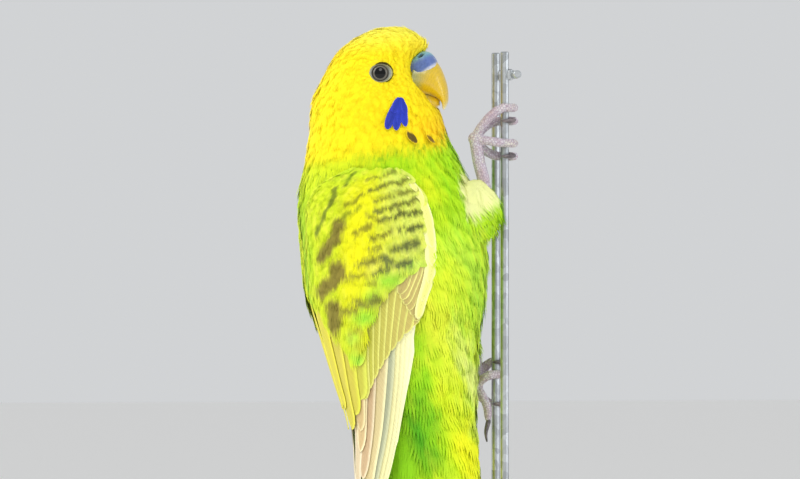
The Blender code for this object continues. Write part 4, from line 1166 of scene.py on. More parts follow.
def flight_feathers(random):
    sheet = VaneSheet(wing_surface, wing_normal)
    for k, (tip, share, bend, level, ground, edge) in enumerate(PRIMARIES):
        look = vane_look(ground, edge, 0.8, random.normal(1.0, 0.02))
        sheet.lay((68.0 + 0.6 * k, 0.44 - 0.043 * k), (tip, share), 3.0 - 0.05 * k,
                  (level - 0.4, level), blade_outline, look, bend=bend, roll=-0.16, cup=0.06)
    for k in range(SECONDARY_COUNT):
        step = k / (SECONDARY_COUNT - 1)
        share = 0.06 + 0.48 * step
        tip = 78.5 + 19.0 * step ** 1.1
        level = -0.98 + 0.40 * step
        ground = linear("#C8B468") * (1.0 - step) + linear("#C2C446") * step
        look = vane_look("#C8B468", "#E6E67A", 0.5, random.normal(1.0, 0.03))
        look["ground"] = ground
        sheet.lay((58.0, share * 0.82 + 0.05), (tip, share), 3.4,
                  (level - 0.3, level), blade_outline, look, roll=-0.16, cup=0.06)
    for root, tip, half, level, ground, edge in TERTIALS:
        look = vane_look(ground, edge, 1.2, random.normal(1.0, 0.02))
        sheet.lay(root, tip, half, (level - 0.3, level), blade_outline, look,
                  roll=-0.16, cup=0.08)
    for k in range(PRIMARY_COVERT_COUNT):
        step = k / (PRIMARY_COVERT_COUNT - 1)
        look = vane_look("#C0AE66", "#ECE888", 0.4, random.normal(1.0, 0.04))
        sheet.lay((50.0, 0.04 + 0.09 * step), (77.0 - 7.0 * step, 0.03 + 0.15 * step), 1.9,
                  (-0.9, -0.60 + 0.14 * step), blade_outline, look, roll=-0.14, cup=0.1)
    for k in range(MARGINAL_COUNT):
        look = vane_look("#EFEE86", "#F8F7AA", 0.6, random.normal(1.0, 0.01))
        sheet.lay((39.5 + 3.4 * k, 0.03), (58.0 + 4.6 * k, 0.022), 1.7,
                  (-0.3, 0.14 - 0.04 * k), blade_outline, look, roll=0.0, cup=0.3)
    return sheet


# Share of the wing, then the depth where its coverts end
COVERT_SHARES = (0.0, 0.05, 0.10, 0.16, 0.25, 0.34, 0.42, 0.50, 0.58, 0.66, 0.75, 0.85, 1.0)
COVERT_ENDS = (50.0, 54.5, 59.5, 63.0, 66.5, 74.0, 77.5, 84.0, 86.5, 83.0, 80.0, 76.0, 70.0)


def covert_field(name, mirrored):
    """The surface that a wing's soft barbs grow from, with their density, direction and length."""
    depths = np.arange(37.2, 90.0, 0.8)
    shares = np.linspace(0.0, 1.04, 48)
    depth, share = np.meshgrid(depths, shares, indexing="ij")
    sunk = 0.25 + 0.9 * ease(0.94, 1.04, share)
    points = wing_surface(depth, share) - wing_normal(depth, share) * sunk[..., None]
    down = unit(wing_surface(depth + 0.5, share) - wing_surface(depth - 0.5, share))
    back = unit(wing_surface(depth, share + 0.01) - wing_surface(depth, share - 0.01))
    drift = 0.25 * (ease(0.4, 0.7, share) - ease(0.7, 0.9, share))
    rise = 0.07 - 0.07 * ease(0.6, 0.95, share)
    way = down + back * drift[..., None] + wing_normal(depth, share) * rise[..., None]
    side = np.array([1.0, -1.0, 1.0]) if mirrored else np.ones(3)
    faces = grid_faces(len(depths), len(shares), False)
    if not mirrored:
        faces = [face[::-1] for face in faces]
    surface = mesh_from(name, points.reshape(-1, 3) * side, faces)
    end = np.interp(share, COVERT_SHARES, COVERT_ENDS) - 3.2
    grown = (1.0 - ease(-0.8, 0.8, depth - end)) * ease(0.05, 0.10, share)
    size = np.interp(depth, (37.0, 45.0, 56.0, 66.0, 86.0), (2.6, 3.2, 4.0, 5.0, 6.0)) * MM
    set_values(surface, "share", "FLOAT", grown)
    set_values(surface, "flow", "FLOAT_VECTOR", way.reshape(-1, 3) * side)
    set_values(surface, "size", "FLOAT", size * (0.75 + 0.25 * ease(0.0, 0.2, share)))
    return surface


for name, mirrored in (("right", False), ("left", True)):
    random = np.random.default_rng(21)
    for part, sheet in (("flight", flight_feathers(random)), ("coverts", coverts(random))):
        piece = sheet.piece("wing_%s_%s" % (name, part), vane_finish, mirrored, "wing_feathers")
        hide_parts("wing_" + name)
    soft = coat_piece("wing_%s_barbs" % name, covert_field("wing_%s_barbs" % name, mirrored), 0.62, 0.10,
                      8 + mirrored, "wing_feathers", wing_plumage)
    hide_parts("wing_" + name)


# Bill
# The upper bill is a horn sheath that hooks down over the lower one. It grows out from under the
# cere in fine curved layers, amber at the side and pale at its worn tip; its root next to the cere
# is olive grey, partly the horn's own tinge and partly painted shade under the cere's edge. The
# lower bill is a short scoop behind it.

BEAK_CULMEN = ((11.5, 217.0), (16.4, 216.4), (19.0, 211.4), (19.6, 206.6), (18.6, 203.8))
BEAK_TOMIUM = ((10.0, 208.4), (12.6, 208.0), (15.6, 207.3), (17.7, 206.0), (18.3, 203.9))
BEAK_HALF_WIDTHS = (5.0, 0.5)
LOWER_BEAK_TOP = ((11.0, 208.4), (14.6, 208.0), (17.3, 206.8))
LOWER_BEAK_BOTTOM = ((11.0, 202.8), (14.8, 203.0), (17.4, 205.0))
LOWER_BEAK_HALF_WIDTHS = (3.6, 1.2)
BILL_RINGS = 44
BILL_SIDES = 40


def outward(mesh):
    """Turn a closed mesh's faces outwards."""
    work = bmesh.new()
    work.from_mesh(mesh)
    bmesh.ops.recalc_face_normals(work, faces=work.faces)
    work.to_mesh(mesh)
    work.free()
    return mesh


def line_at(places, share):
    """Points along a smooth line through given places: share runs from 0 to 1."""
    rows = [(k, *place) for k, place in enumerate(places)]
    return table_curve(rows, np.asarray(share) * (len(places) - 1))


def bill_mesh(name, top_places, bottom_places, half_widths, fullness, worn):
    share = np.linspace(0.0, 1.0, BILL_RINGS)
    top = line_at(top_places, share)
    bottom = line_at(bottom_places, share)
    root_half, tip_half = half_widths
    half = tip_half + (root_half - tip_half) * np.sqrt(1.0 - share ** fullness)
    angle = np.linspace(0.0, math.tau, BILL_SIDES, endpoint=False)
    middle = (top + bottom) / 2
    reach = (top - bottom) / 2
    forward = middle[:, :1] + reach[:, :1] * np.cos(angle)
    height = middle[:, 1:] + reach[:, 1:] * np.cos(angle)
    ridge = 1.0 - 0.14 * np.maximum(np.cos(angle), 0.0) ** 2
    layers = 1.0 + 0.006 * np.sin(share * 70.0)
    grid = head_place(forward, half[:, None] * np.sin(angle) * ridge * layers[:, None], height)
    points, faces = closed_grid(grid, grid[0].mean(0), grid[-1].mean(0) * 1.04 - grid[-2].mean(0) * 0.04)
    mesh = outward(mesh_from(name, points, faces))
    along = np.repeat(share, BILL_SIDES)
    low = np.tile((1.0 - np.cos(angle)) / 2, BILL_RINGS)
    set_values(mesh, "along", "FLOAT", np.concatenate([along, (0.0, 1.0)]) * worn)
    set_values(mesh, "low", "FLOAT", np.concatenate([low, (0.5, 0.5)]))
    return mesh


# Polished horn: glossy, with faint growth lines across it and a thin pale cutting edge
beak_finish, shader, tree = new_material("polished_beak_horn", "#D6AC22", 0.3, IOR=1.54, Coat_Weight=0.2,
                                         Coat_Roughness=0.12)
along = add_node(tree, "ShaderNodeAttribute", attribute_name="along").outputs["Fac"]
low = add_node(tree, "ShaderNodeAttribute", attribute_name="low").outputs["Fac"]
place = add_node(tree, "ShaderNodeTexCoord").outputs["Object"]
cloud = add_node(tree, "ShaderNodeTexNoise", {"Vector": place, "Scale": 420.0, "Detail": 3.0}).outputs["Fac"]
shift = add_node(tree, "ShaderNodeMapRange", {0: cloud, 3: -0.09, 4: 0.09})
grown_along = add_node(tree, "ShaderNodeMath", {0: along, 1: shift.outputs[0]}, operation='ADD')
# The olive grey at the root, next to the cere, is partly the horn's own tinge and partly painted shade under
# the cere's edge
horn = add_node(tree, "ShaderNodeValToRGB", {0: grown_along.outputs[0]},
                stops=((0.0, "#8E9468"), (0.13, "#A8A056"), (0.30, "#D0AE1C"), (0.74, "#DEB814"),
                       (0.93, "#E8D27A"), (1.0, "#F2E8B8"))).outputs["Color"]
cutting = add_node(tree, "ShaderNodeMapRange", {0: low, 1: 0.86, 2: 0.99}, interpolation_type='SMOOTHSTEP')
horn = add_node(tree, "ShaderNodeMix", {0: cutting.outputs[0], 6: horn, 7: (*linear("#EFE0A0"), 1.0)},
                data_type='RGBA').outputs[2]
rings = add_node(tree, "ShaderNodeMath", {0: grown_along.outputs[0], 1: 150.0}, operation='MULTIPLY')
rings = add_node(tree, "ShaderNodeMath", {0: rings.outputs[0]}, operation='SINE')
line_tone = add_node(tree, "ShaderNodeMapRange", {0: rings.outputs[0], 1: -1.0, 2: 1.0, 3: 0.93, 4: 1.04})
horn = add_node(tree, "ShaderNodeVectorMath", {0: horn, "Scale": line_tone.outputs[0]}, operation='SCALE')
tree.links.new(horn.outputs[0], shader.inputs["Base Color"])
relief = add_node(tree, "ShaderNodeBump", {"Height": rings.outputs[0], "Strength": 0.12, "Distance": 0.0001})
tree.links.new(relief.outputs["Normal"], shader.inputs["Normal"])

for name, node, top, bottom, halves, fullness, worn in (
        ("bill_upper", "beak_upper", BEAK_CULMEN, BEAK_TOMIUM, BEAK_HALF_WIDTHS, 1.6, 1.0),
        ("bill_lower", "beak_lower", LOWER_BEAK_TOP, LOWER_BEAK_BOTTOM, LOWER_BEAK_HALF_WIDTHS, 2.0, 0.45)):
    sheath = new_piece(name, bill_mesh(name, top, bottom, halves, fullness, worn), beak_finish)
    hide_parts(node)


# Cere
# The cere is a soft bare swelling that saddles the bill's root, with a nostril in each lobe and a
# groove between them. A grown cock's is bright blue, paler where it thins towards the bill.

CERE_RADII = (3.8, 5.0, 3.6)
CERE_UNDER = 2.8                    # its reach down to the bill, in place of the last radius
CERE_FULLNESS = 2.7
CERE_PITCH = math.radians(-33.0)
CERE_LOBE = (0.42, 0.74, 0.42)
NOSTRIL = (0.36, 0.74, 0.56)
NOSTRIL_SIZE = 0.12


def cere_mesh():
    rows, columns = 72, 96
    theta = np.linspace(0.0, math.pi, rows + 2)[1:-1]
    phi = np.linspace(0.0, math.tau, columns, endpoint=False)
    theta_grid, phi_grid = np.meshgrid(theta, phi, indexing="ij")
    way = np.stack([np.sin(theta_grid) * np.cos(phi_grid), np.sin(theta_grid) * np.sin(phi_grid),
                    np.cos(theta_grid)], -1)
    ways = np.concatenate([way.reshape(-1, 3), [(0, 0, 1), (0, 0, -1)]])
    full = np.sum(np.abs(ways) ** CERE_FULLNESS, axis=1) ** (-1.0 / CERE_FULLNESS)
    folded = ways * np.array([1.0, 0.0, 1.0]) + np.abs(ways) * np.array([0.0, 1.0, 0.0])
    lobe = np.exp(-(np.linalg.norm(folded - unit(CERE_LOBE), axis=1) / 0.5) ** 2)
    groove = np.exp(-(ways[:, 1] / 0.13) ** 2) * ease(-0.3, 0.3, ways[:, 0] + ways[:, 2])
    gap = (folded - unit(NOSTRIL)) / np.array([1.6, 1.6, 0.8])
    hole = np.linalg.norm(gap, axis=1) / NOSTRIL_SIZE
    pit = np.exp(-hole ** 4)
    rim = np.exp(-((hole - 1.4) / 0.4) ** 2)
    size = full * (1.0 + 0.05 * lobe - 0.12 * groove - 0.17 * pit + 0.02 * rim)
    radii = np.where(ways[:, 2:] > 0.0, np.array(CERE_RADII), np.array([*CERE_RADII[:2], CERE_UNDER]))
    local = ways * radii * size[:, None]
    forward = CERE_PLACE[0] + local[:, 0] * math.cos(CERE_PITCH) + local[:, 2] * math.sin(CERE_PITCH)
    height = CERE_PLACE[2] + local[:, 2] * math.cos(CERE_PITCH) - local[:, 0] * math.sin(CERE_PITCH)
    places = head_place(forward, local[:, 1], height)
    _, faces = closed_grid(way, (0, 0, 1), (0, 0, -1))
    mesh = outward(mesh_from("cere", places, faces))
    tint = np.tile(linear("#566CA6"), (len(ways), 1))
    # Painted highlight: paler cyan over the top of the cere, where the light from above falls
    tint = painted(tint, "#7FB8BE", 0.9 * ease(0.25, 0.75, ways[:, 2] + 0.2 * ways[:, 0]))
    tint = painted(tint, "#44568E", 0.5 * ease(0.0, 0.7, -ways[:, 0]))
    tint = painted(tint, "#C6CCDA", 0.7 * groove * ease(0.4, 0.9, ways[:, 0]))
    tint = painted(tint, "#CDD0DC", ease(0.34, 0.62, -ways[:, 2] + 0.10 * ways[:, 0]))
    # Painted shade: near-black in each nostril pit stands for the dark inside of the opening, which the
    # closed mesh does not have
    tint = painted(tint, "#0C161C", pit)
    set_values(mesh, "tint", "FLOAT_COLOR", with_alpha(tint))
    return mesh


# Bare waxy skin: soft, slightly moist, lit a little from within, with fine pores
cere_finish, shader, tree = new_material("waxy_cere_skin", "#5A70A8", 0.42, IOR=1.4, Subsurface_Weight=0.15,
                                         Coat_Weight=0.12, Coat_Roughness=0.3)
shader.inputs["Subsurface Radius"].default_value = (0.6, 0.6, 1.0)
shader.inputs["Subsurface Scale"].default_value = 0.0006
tint = add_node(tree, "ShaderNodeAttribute", attribute_name="tint").outputs["Color"]
place = add_node(tree, "ShaderNodeTexCoord").outputs["Object"]
pores = add_node(tree, "ShaderNodeTexNoise", {"Vector": place, "Scale": 1900.0, "Detail": 4.0}).outputs["Fac"]
tone = add_node(tree, "ShaderNodeMapRange", {0: pores, 1: 0.3, 2: 0.7, 3: 0.86, 4: 1.12})
waxy = add_node(tree, "ShaderNodeVectorMath", {0: tint, "Scale": tone.outputs[0]}, operation='SCALE')
tree.links.new(waxy.outputs[0], shader.inputs["Base Color"])
relief = add_node(tree, "ShaderNodeBump", {"Height": pores, "Strength": 0.3, "Distance": 0.00015})
tree.links.new(relief.outputs["Normal"], shader.inputs["Normal"])

cere = new_piece("cere_swelling", cere_mesh(), cere_finish)
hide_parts("cere")


# Eyes
# Each eye is a wet ball, deep in the head, with a large dark pupil and a narrow grey-brown iris.
# A dark lid edge rings it, and round that lies a patch of bare pale skin.

EYE_CENTRE = (3.6, 10.3, 213.2)
EYE_RADIUS = 3.1
IRIS_DEGREES = 38.5
CORNEA_RISE = 0.12
# Radius forward and back, radius up and down, height over the ball's middle
LID_RINGS = (
    (2.04, 1.98, 2.30),
    (2.06, 2.00, 2.50),
    (2.10, 2.02, 2.62),
    (2.20, 2.10, 2.64),
    (2.32, 2.18, 2.54),
    (2.48, 2.28, 2.42),
    (2.62, 2.34, 2.32),
    (2.78, 2.40, 2.16),
    (2.98, 2.48, 1.85),
)


def eye_mesh(name, side):
    rows, columns = 48, 56
    gaze = np.radians(np.linspace(0.0, 180.0, rows + 2)[1:-1])
    turn = np.linspace(0.0, math.tau, columns, endpoint=False)
    gaze_grid, turn_grid = np.meshgrid(gaze, turn, indexing="ij")
    bulge = CORNEA_RISE * np.clip(1.0 - (np.degrees(gaze_grid) / IRIS_DEGREES) ** 2, 0.0, 1.0)
    radius = EYE_RADIUS + bulge
    forward = radius * np.sin(gaze_grid) * np.cos(turn_grid)
    height = radius * np.sin(gaze_grid) * np.sin(turn_grid)
    out = radius * np.cos(gaze_grid)
    grid = head_place(EYE_CENTRE[0] + forward, side * (EYE_CENTRE[1] + out), EYE_CENTRE[2] + height)
    poles = [head_place(EYE_CENTRE[0], side * (EYE_CENTRE[1] + way), EYE_CENTRE[2])
             for way in (EYE_RADIUS + CORNEA_RISE, -EYE_RADIUS)]
    points, faces = closed_grid(grid, *poles)
    mesh = outward(mesh_from(name, points, faces))
    degrees = np.repeat(np.degrees(gaze), columns)
    set_values(mesh, "gaze", "FLOAT", np.concatenate([degrees, (0.0, 180.0)]) / 90.0)
    return mesh


def add_rounding(helper, levels):
    rounding = helper.modifiers.new("rounding", 'SUBSURF')
    rounding.levels = levels
    rounding.render_levels = levels


def lid_mesh(name, side):
    columns = 64
    turn = np.linspace(0.0, math.tau, columns, endpoint=False)
    rings = []
    shares = []
    for number, (long, tall, out) in enumerate(LID_RINGS):
        fold = 0.03 * np.sin(turn * 19.0 + number) * (1.0 if number > 3 else 0.2)
        forward = long * np.cos(turn) * (1.0 + 0.05 * np.cos(turn) ** 2 * (number > 4))
        height = tall * np.sin(turn)
        lean = 0.10 * np.maximum(number - 4, 0) * np.sin(turn) ** 2 * (np.sin(turn) > 0.0)
        rings.append(head_place(EYE_CENTRE[0] + forward, side * (EYE_CENTRE[1] + out + fold - lean),
                                EYE_CENTRE[2] + height))
        shares.append(np.full(columns, number / (len(LID_RINGS) - 1)))
    grid = np.stack(rings)
    mesh = mesh_from(name, grid.reshape(-1, 3), grid_faces(len(rings), columns, True))
    set_values(mesh, "ring", "FLOAT", np.concatenate(shares))
    set_values(mesh, "upper", "FLOAT", np.tile(np.sin(turn), len(rings)))
    helper = helper_object(name, mesh)
    add_rounding(helper, 1)
    return applied_mesh(helper)


# Wet eyeball: black pupil and fibrous grey-brown iris under a clear, glossy tear film
eye_finish, shader, tree = new_material("wet_eye", "#08090A", 0.04, IOR=1.34)
gaze = add_node(tree, "ShaderNodeAttribute", attribute_name="gaze").outputs["Fac"]
place = add_node(tree, "ShaderNodeTexCoord").outputs["Object"]
fibre = add_node(tree, "ShaderNodeTexNoise", {"Vector": place, "Scale": 2600.0, "Detail": 2.0}).outputs["Fac"]
shift = add_node(tree, "ShaderNodeMapRange", {0: fibre, 3: -0.012, 4: 0.012})
ray = add_node(tree, "ShaderNodeMath", {0: gaze, 1: shift.outputs[0]}, operation='ADD')
iris = add_node(tree, "ShaderNodeValToRGB", {0: ray.outputs[0]},
                stops=((0.0, "#050607"), (0.28, "#070808"), (0.31, "#45423C"), (0.345, "#6E6A60"),
                       (0.43, "#625E54"), (0.47, "#1C1A17")))
tree.links.new(iris.outputs["Color"], shader.inputs["Base Color"])

# Bare lid skin: a dark, smooth edge, then pale dry skin with small papillae; darker olive over the
# top of the ring, partly fine lash feathers and partly painted shade under the brow
lid_finish, shader, tree = new_material("bare_lid_skin", "#B8BAB0", 0.6, IOR=1.4)
ring = add_node(tree, "ShaderNodeAttribute", attribute_name="ring").outputs["Fac"]
upper = add_node(tree, "ShaderNodeAttribute", attribute_name="upper").outputs["Fac"]
place = add_node(tree, "ShaderNodeTexCoord").outputs["Object"]
papillae = add_node(tree, "ShaderNodeTexVoronoi", {"Vector": place, "Scale": 2300.0}).outputs["Distance"]
lid = add_node(tree, "ShaderNodeValToRGB", {0: ring},
               stops=((0.0, "#1C1B1A"), (0.24, "#2A2927"), (0.42, "#56554E"), (0.56, "#8C8E84"),
                      (0.8, "#A0A292"), (1.0, "#CFC86C"))).outputs["Color"]
# Darker olive towards the top of the ring: partly fine lash feathers, partly painted shade under the brow's
# feathers
brow_lashes_and_shade = add_node(tree, "ShaderNodeMapRange", {0: upper, 1: 0.2, 2: 0.9, 3: 0.0, 4: 0.75})
lid = add_node(tree, "ShaderNodeMix", {0: brow_lashes_and_shade.outputs[0], 6: lid, 7: (*linear("#6A6848"), 1.0)},
               data_type='RGBA').outputs[2]
tone = add_node(tree, "ShaderNodeMapRange", {0: papillae, 1: 0.0, 2: 0.8, 3: 1.1, 4: 0.72})
lid = add_node(tree, "ShaderNodeVectorMath", {0: lid, "Scale": tone.outputs[0]}, operation='SCALE')
tree.links.new(lid.outputs[0], shader.inputs["Base Color"])
relief = add_node(tree, "ShaderNodeBump", {"Height": papillae, "Strength": 0.5, "Distance": 0.0001},
                  invert=True)
tree.links.new(relief.outputs["Normal"], shader.inputs["Normal"])

for name, side in (("right", -1), ("left", 1)):
    ball = new_piece("eyeball_" + name, eye_mesh("eyeball_" + name, side), eye_finish)
    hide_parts("eye_" + name)
    lids = new_piece("eyelids_" + name, lid_mesh("eyelids_" + name, side), lid_finish)


# Cheek patches and throat spots
# A few longer feathers on each cheek end in violet blue and lie over the yellow ones. Two small
# dark brown feathers sit on each side of the throat.

# Root depth and degrees from the front, then the same for the tip, and half width
CHEEK_VANES = (
    ((19.6, 60.0), (27.4, 85.0), 0.95),
    ((19.4, 58.0), (26.2, 80.5), 0.85),
    ((19.5, 57.0), (27.7, 78.5), 0.95),
    ((19.3, 56.0), (26.2, 73.0), 0.85),
    ((19.4, 55.0), (26.7, 68.5), 0.95),
    ((19.2, 54.5), (23.6, 62.0), 0.85),
    ((19.3, 57.5), (23.2, 72.0), 0.9),
)
THROAT_VANES = (
    ((27.6, 65.5), (31.0, 70.0), 1.25, "#3A2A08", 3.0),
    ((28.4, 49.0), (31.0, 53.0), 0.95, "#6A4C08", 2.3),
)


def cheek_surface(depth, angle):
    """Point on the right side of the head and body: angle in radians from the front."""
    return body_point(depth, -np.asarray(angle))


def cheek_normal(depth, angle):
    return surface_normal(body_point, depth, -np.asarray(angle))


cheek_random = np.random.default_rng(5)
for name, mirrored in (("right", False), ("left", True)):
    cheek = VaneSheet(cheek_surface, cheek_normal)
    for *places, half in CHEEK_VANES:
        look = vane_look("#1A30A8", "#2C3CC0", 0.3, cheek_random.normal(1.0, 0.12))
        root, tip = ((depth, math.radians(degrees)) for depth, degrees in places)
        cheek.lay(root, tip, half, (0.0, 0.55), covert_outline, look, cup=0.25, roll=0.05)
    for *places, half, colour, reach in THROAT_VANES:
        look = vane_look("#F4D00C", "#F0CC0C", 0.15, mark=colour, mark_from=0.1, mark_to=reach)
        root, tip = ((depth, math.radians(degrees)) for depth, degrees in places)
        cheek.lay(root, tip, half, (-0.3, 0.45), covert_outline, look, cup=0.3, roll=0.0)
    cheek.piece("face_marks_" + name, vane_finish, mirrored, "head_feathers")


# Tail
# Twelve stiff tail feathers in six pairs, stacked under the long middle pair like steps. Each is
# a flat keratin blade on one shaft, rooted side by side in the tail's root.

# Height, x of the upper side, x of the under side
TAIL_PROFILE = (
    (21.0, 16.2, 17.3),
    (42.0, 14.3, 16.8),
    (64.0, 12.0, 16.9),
    (82.0, 8.6, 18.6),
    (94.0, 4.4, 19.0),
    (104.0, 1.0, 19.6),
)
TAIL_TIP_Z = 21.0
TAIL_LENGTHS = (83.0, 68.0, 57.0, 48.0, 41.0, 35.0)
TAIL_HALF = 4.0
TAIL_PITCH = 1.1
TAIL_ROOT_Z = 98.0
TAIL_COLOURS = (("#7E9080", "#9DB0A0"), ("#B4BC7C", "#8FA888"), ("#E2DC58", "#A9B870"),
                ("#ECE24C", "#B4C068"), ("#F0E648", "#BCC860"), ("#F2E84A", "#C4CE5C"))


def tail_surface(depth, place):
    """Point in the tail: place is 1 for ten millimetres to the left, on a shallow roof."""
    depth, place = np.broadcast_arrays(depth, place)
    upper, under = np.moveaxis(table_curve(TAIL_PROFILE, CROWN_Z - depth), -1, 0)
    y = 10.0 * place
    ridge = upper + (under - upper) * 0.35 * np.clip(np.abs(y) / 8.0, 0.0, 1.0) ** 1.5
    return np.stack([ridge, y, CROWN_Z - depth], -1)


def tail_normal(depth, place):
    return surface_normal(tail_surface, depth, place, 0.05)


def tail_feathers():
    sheet = VaneSheet(tail_surface, tail_normal)
    random = np.random.default_rng(31)
    for pair, (length, colours) in enumerate(zip(TAIL_LENGTHS, TAIL_COLOURS)):
        for side in (-1, 1):
            tip = TAIL_TIP_Z + TAIL_LENGTHS[0] - length
            level = -0.12 - 0.26 * pair - (0.12 if side > 0 else 0.0)
            look = vane_look(*colours, 0.9, random.normal(1.0, 0.02))
            outline = pointed_outline if pair < 2 else blade_outline
            sheet.lay((CROWN_Z - TAIL_ROOT_Z, side * (0.05 + 0.02 * pair)),
                      (CROWN_Z - tip, side * (0.02 + TAIL_PITCH * pair / 10.0)), TAIL_HALF,
                      (level - 0.3, level), outline, look, roll=0.0, cup=0.3)
    return sheet


tail = tail_feathers().piece("tail_blades", vane_finish, False, "tail_feathers", thickness=0.15)
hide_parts("tail")


# Feet
# Scaly skin over bone and tendon: a short shank, two toes forward and two back, each bent round
# the wire, on smooth grey horn claws.

FOOT_VOXEL = 0.26
FOOT_SMOOTHING = 6
CLAW_RING = 6
CLAW_ROOT = 1.0


def cad_copy(*nodes):
    """One mesh of CAD nodes, with their loose triangles merged."""
    work = bmesh.new()
    for node in nodes:
        work.from_mesh(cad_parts[node].data)
    bmesh.ops.remove_doubles(work, verts=work.verts, dist=0.00001)
    bmesh.ops.recalc_face_normals(work, faces=work.faces)
    mesh = bpy.data.meshes.new(nodes[0] + "_copy")
    work.to_mesh(mesh)
    work.free()
    mesh.shade_smooth()
    return mesh


def rooted_claws(*nodes):
    """One mesh of claws whose broad ends reach on into the toes."""
    work = bmesh.new()
    for node in nodes:
        claw = cad_copy(node)
        places = vertex_places(claw)
        crowd = [np.sum(np.linalg.norm(places - place, axis=1) < 0.4 * MM) for place in places]
        tip = places[int(np.argmax(crowd))]
        order = np.argsort(-np.linalg.norm(places - tip, axis=1))
        root = order[:CLAW_RING]
        after = order[CLAW_RING:2 * CLAW_RING]
        places[root] += unit(places[root].mean(0) - places[after].mean(0)) * CLAW_ROOT * MM
        claw.vertices.foreach_set("co", places.astype(np.float32).ravel())
        work.from_mesh(claw)
    mesh = bpy.data.meshes.new("claws")
    work.to_mesh(mesh)
    work.free()
    mesh.shade_smooth()
    return mesh


# Foot skin: dry, finely scaled, pink and lilac between pale grey scales
foot_finish, shader, tree = new_material("scaly_foot_skin", "#C4B8BE", 0.5, IOR=1.45, Subsurface_Weight=0.12)
shader.inputs["Subsurface Radius"].default_value = (1.0, 0.45, 0.4)
shader.inputs["Subsurface Scale"].default_value = 0.0008
place = add_node(tree, "ShaderNodeTexCoord").outputs["Object"]
cells = add_node(tree, "ShaderNodeTexVoronoi", {"Vector": place, "Scale": 1500.0}, feature='DISTANCE_TO_EDGE')
scale_edge = add_node(tree, "ShaderNodeMapRange", {0: cells.outputs["Distance"], 1: 0.02, 2: 0.16})
cloud = add_node(tree, "ShaderNodeTexNoise", {"Vector": place, "Scale": 260.0, "Detail": 2.0}).outputs["Fac"]
flesh = add_node(tree, "ShaderNodeValToRGB", {0: cloud},
                 stops=((0.3, "#C0AEB6"), (0.5, "#CCC4CC"), (0.7, "#CCC9BE"))).outputs["Color"]
scaly = add_node(tree, "ShaderNodeMix", {0: scale_edge.outputs[0], 6: (*linear("#A592A0"), 1.0), 7: flesh},
                 data_type='RGBA').outputs[2]
tree.links.new(scaly, shader.inputs["Base Color"])
relief = add_node(tree, "ShaderNodeBump",
                  {"Height": scale_edge.outputs[0], "Strength": 0.6, "Distance": 0.00012})
tree.links.new(relief.outputs["Normal"], shader.inputs["Normal"])

# Claw horn: smooth and semi-gloss, mottled from dark to paler grey
claw_finish, shader, tree = new_material("claw_horn", "#5A5054", 0.32, IOR=1.54, Coat_Weight=0.2)
place = add_node(tree, "ShaderNodeTexCoord").outputs["Object"]
cloud = add_node(tree, "ShaderNodeTexNoise", {"Vector": place, "Scale": 700.0, "Detail": 3.0}).outputs["Fac"]
horn = add_node(tree, "ShaderNodeValToRGB", {0: cloud},
                stops=((0.3, "#3E383C"), (0.55, "#6A6064"), (0.75, "#8A7E80")))
tree.links.new(horn.outputs["Color"], shader.inputs["Base Color"])

for name in ("right", "left"):
    mesh = one_surface("scaled_foot_" + name, cad_copy("foot_" + name), FOOT_VOXEL, FOOT_SMOOTHING)
    foot = new_piece("scaled_foot_" + name, mesh, foot_finish)
    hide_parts("foot_" + name)
    claw_nodes = ["claw_%s_%d" % (name, number) for number in (1, 2, 3, 4)]
    helper = helper_object("claws_" + name, rooted_claws(*claw_nodes))
    add_rounding(helper, 2)
    swelling = helper.modifiers.new("swelling", 'DISPLACE')
    swelling.strength = 0.08 * MM
    swelling.mid_level = 0.0
    claws = new_piece("claws_" + name, applied_mesh(helper), claw_finish)
    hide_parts(*claw_nodes)


# Wires and stand
# Two cut lengths of galvanised wire, welded to two short cross wires, stand in drilled steel
# rods. The rods are pressed into a turned beech disc, oiled, with a softened rim.

WIRE_RADIUS = 1.1
WIRE_X = 26.5
WIRE_PITCH = 12.5
WIRE_BOTTOM_Z = 88.3
WIRE_TOP_Z = 219.0
CROSS_WIRE_HEIGHTS = (213.0, 101.0)
CROSS_WIRE_HALF = 11.0
ROD_RADIUS = 2.4
ROD_TOP_Z = 95.0
BASE_RADIUS = 54.0
BASE_HEIGHT = 10.0
WIRE_CHAMFER = 0.25
WIRE_SIDES = 32
WELD_SIDES = 20
ROD_SIDES = 40
BASE_SIDES = 144
# Radius and place along the wire of the small bead of metal at a crossing
WELD_PROFILE = ((0.5, -1.5), (1.15, -1.1), (1.3, 0.0), (1.15, 1.1), (0.5, 1.5))


def turned_mesh(name, profile, sides, place, axis='Z'):
    """A closed turned form from pairs of radius and height, along Z or Y."""
    angle = np.linspace(0.0, math.tau, sides, endpoint=False)
    profile = np.array(profile, float)
    across = profile[:, :1] * np.cos(angle)
    other = profile[:, :1] * np.sin(angle)
    along = np.broadcast_to(profile[:, 1:], across.shape)
    order = (across, other, along) if axis == 'Z' else (other, along, across)
    grid = np.stack(order, -1) + np.array(place)
    points, faces = closed_grid(grid, grid[0].mean(0), grid[-1].mean(0))
    mesh = outward(mesh_from(name, points, faces))
    mesh.set_sharp_from_angle(angle=math.radians(40))
    return mesh


def bar_profile(radius, low, high, chamfer):
    return ((radius - chamfer, low), (radius, low + chamfer), (radius, high - chamfer),
            (radius - chamfer, high))


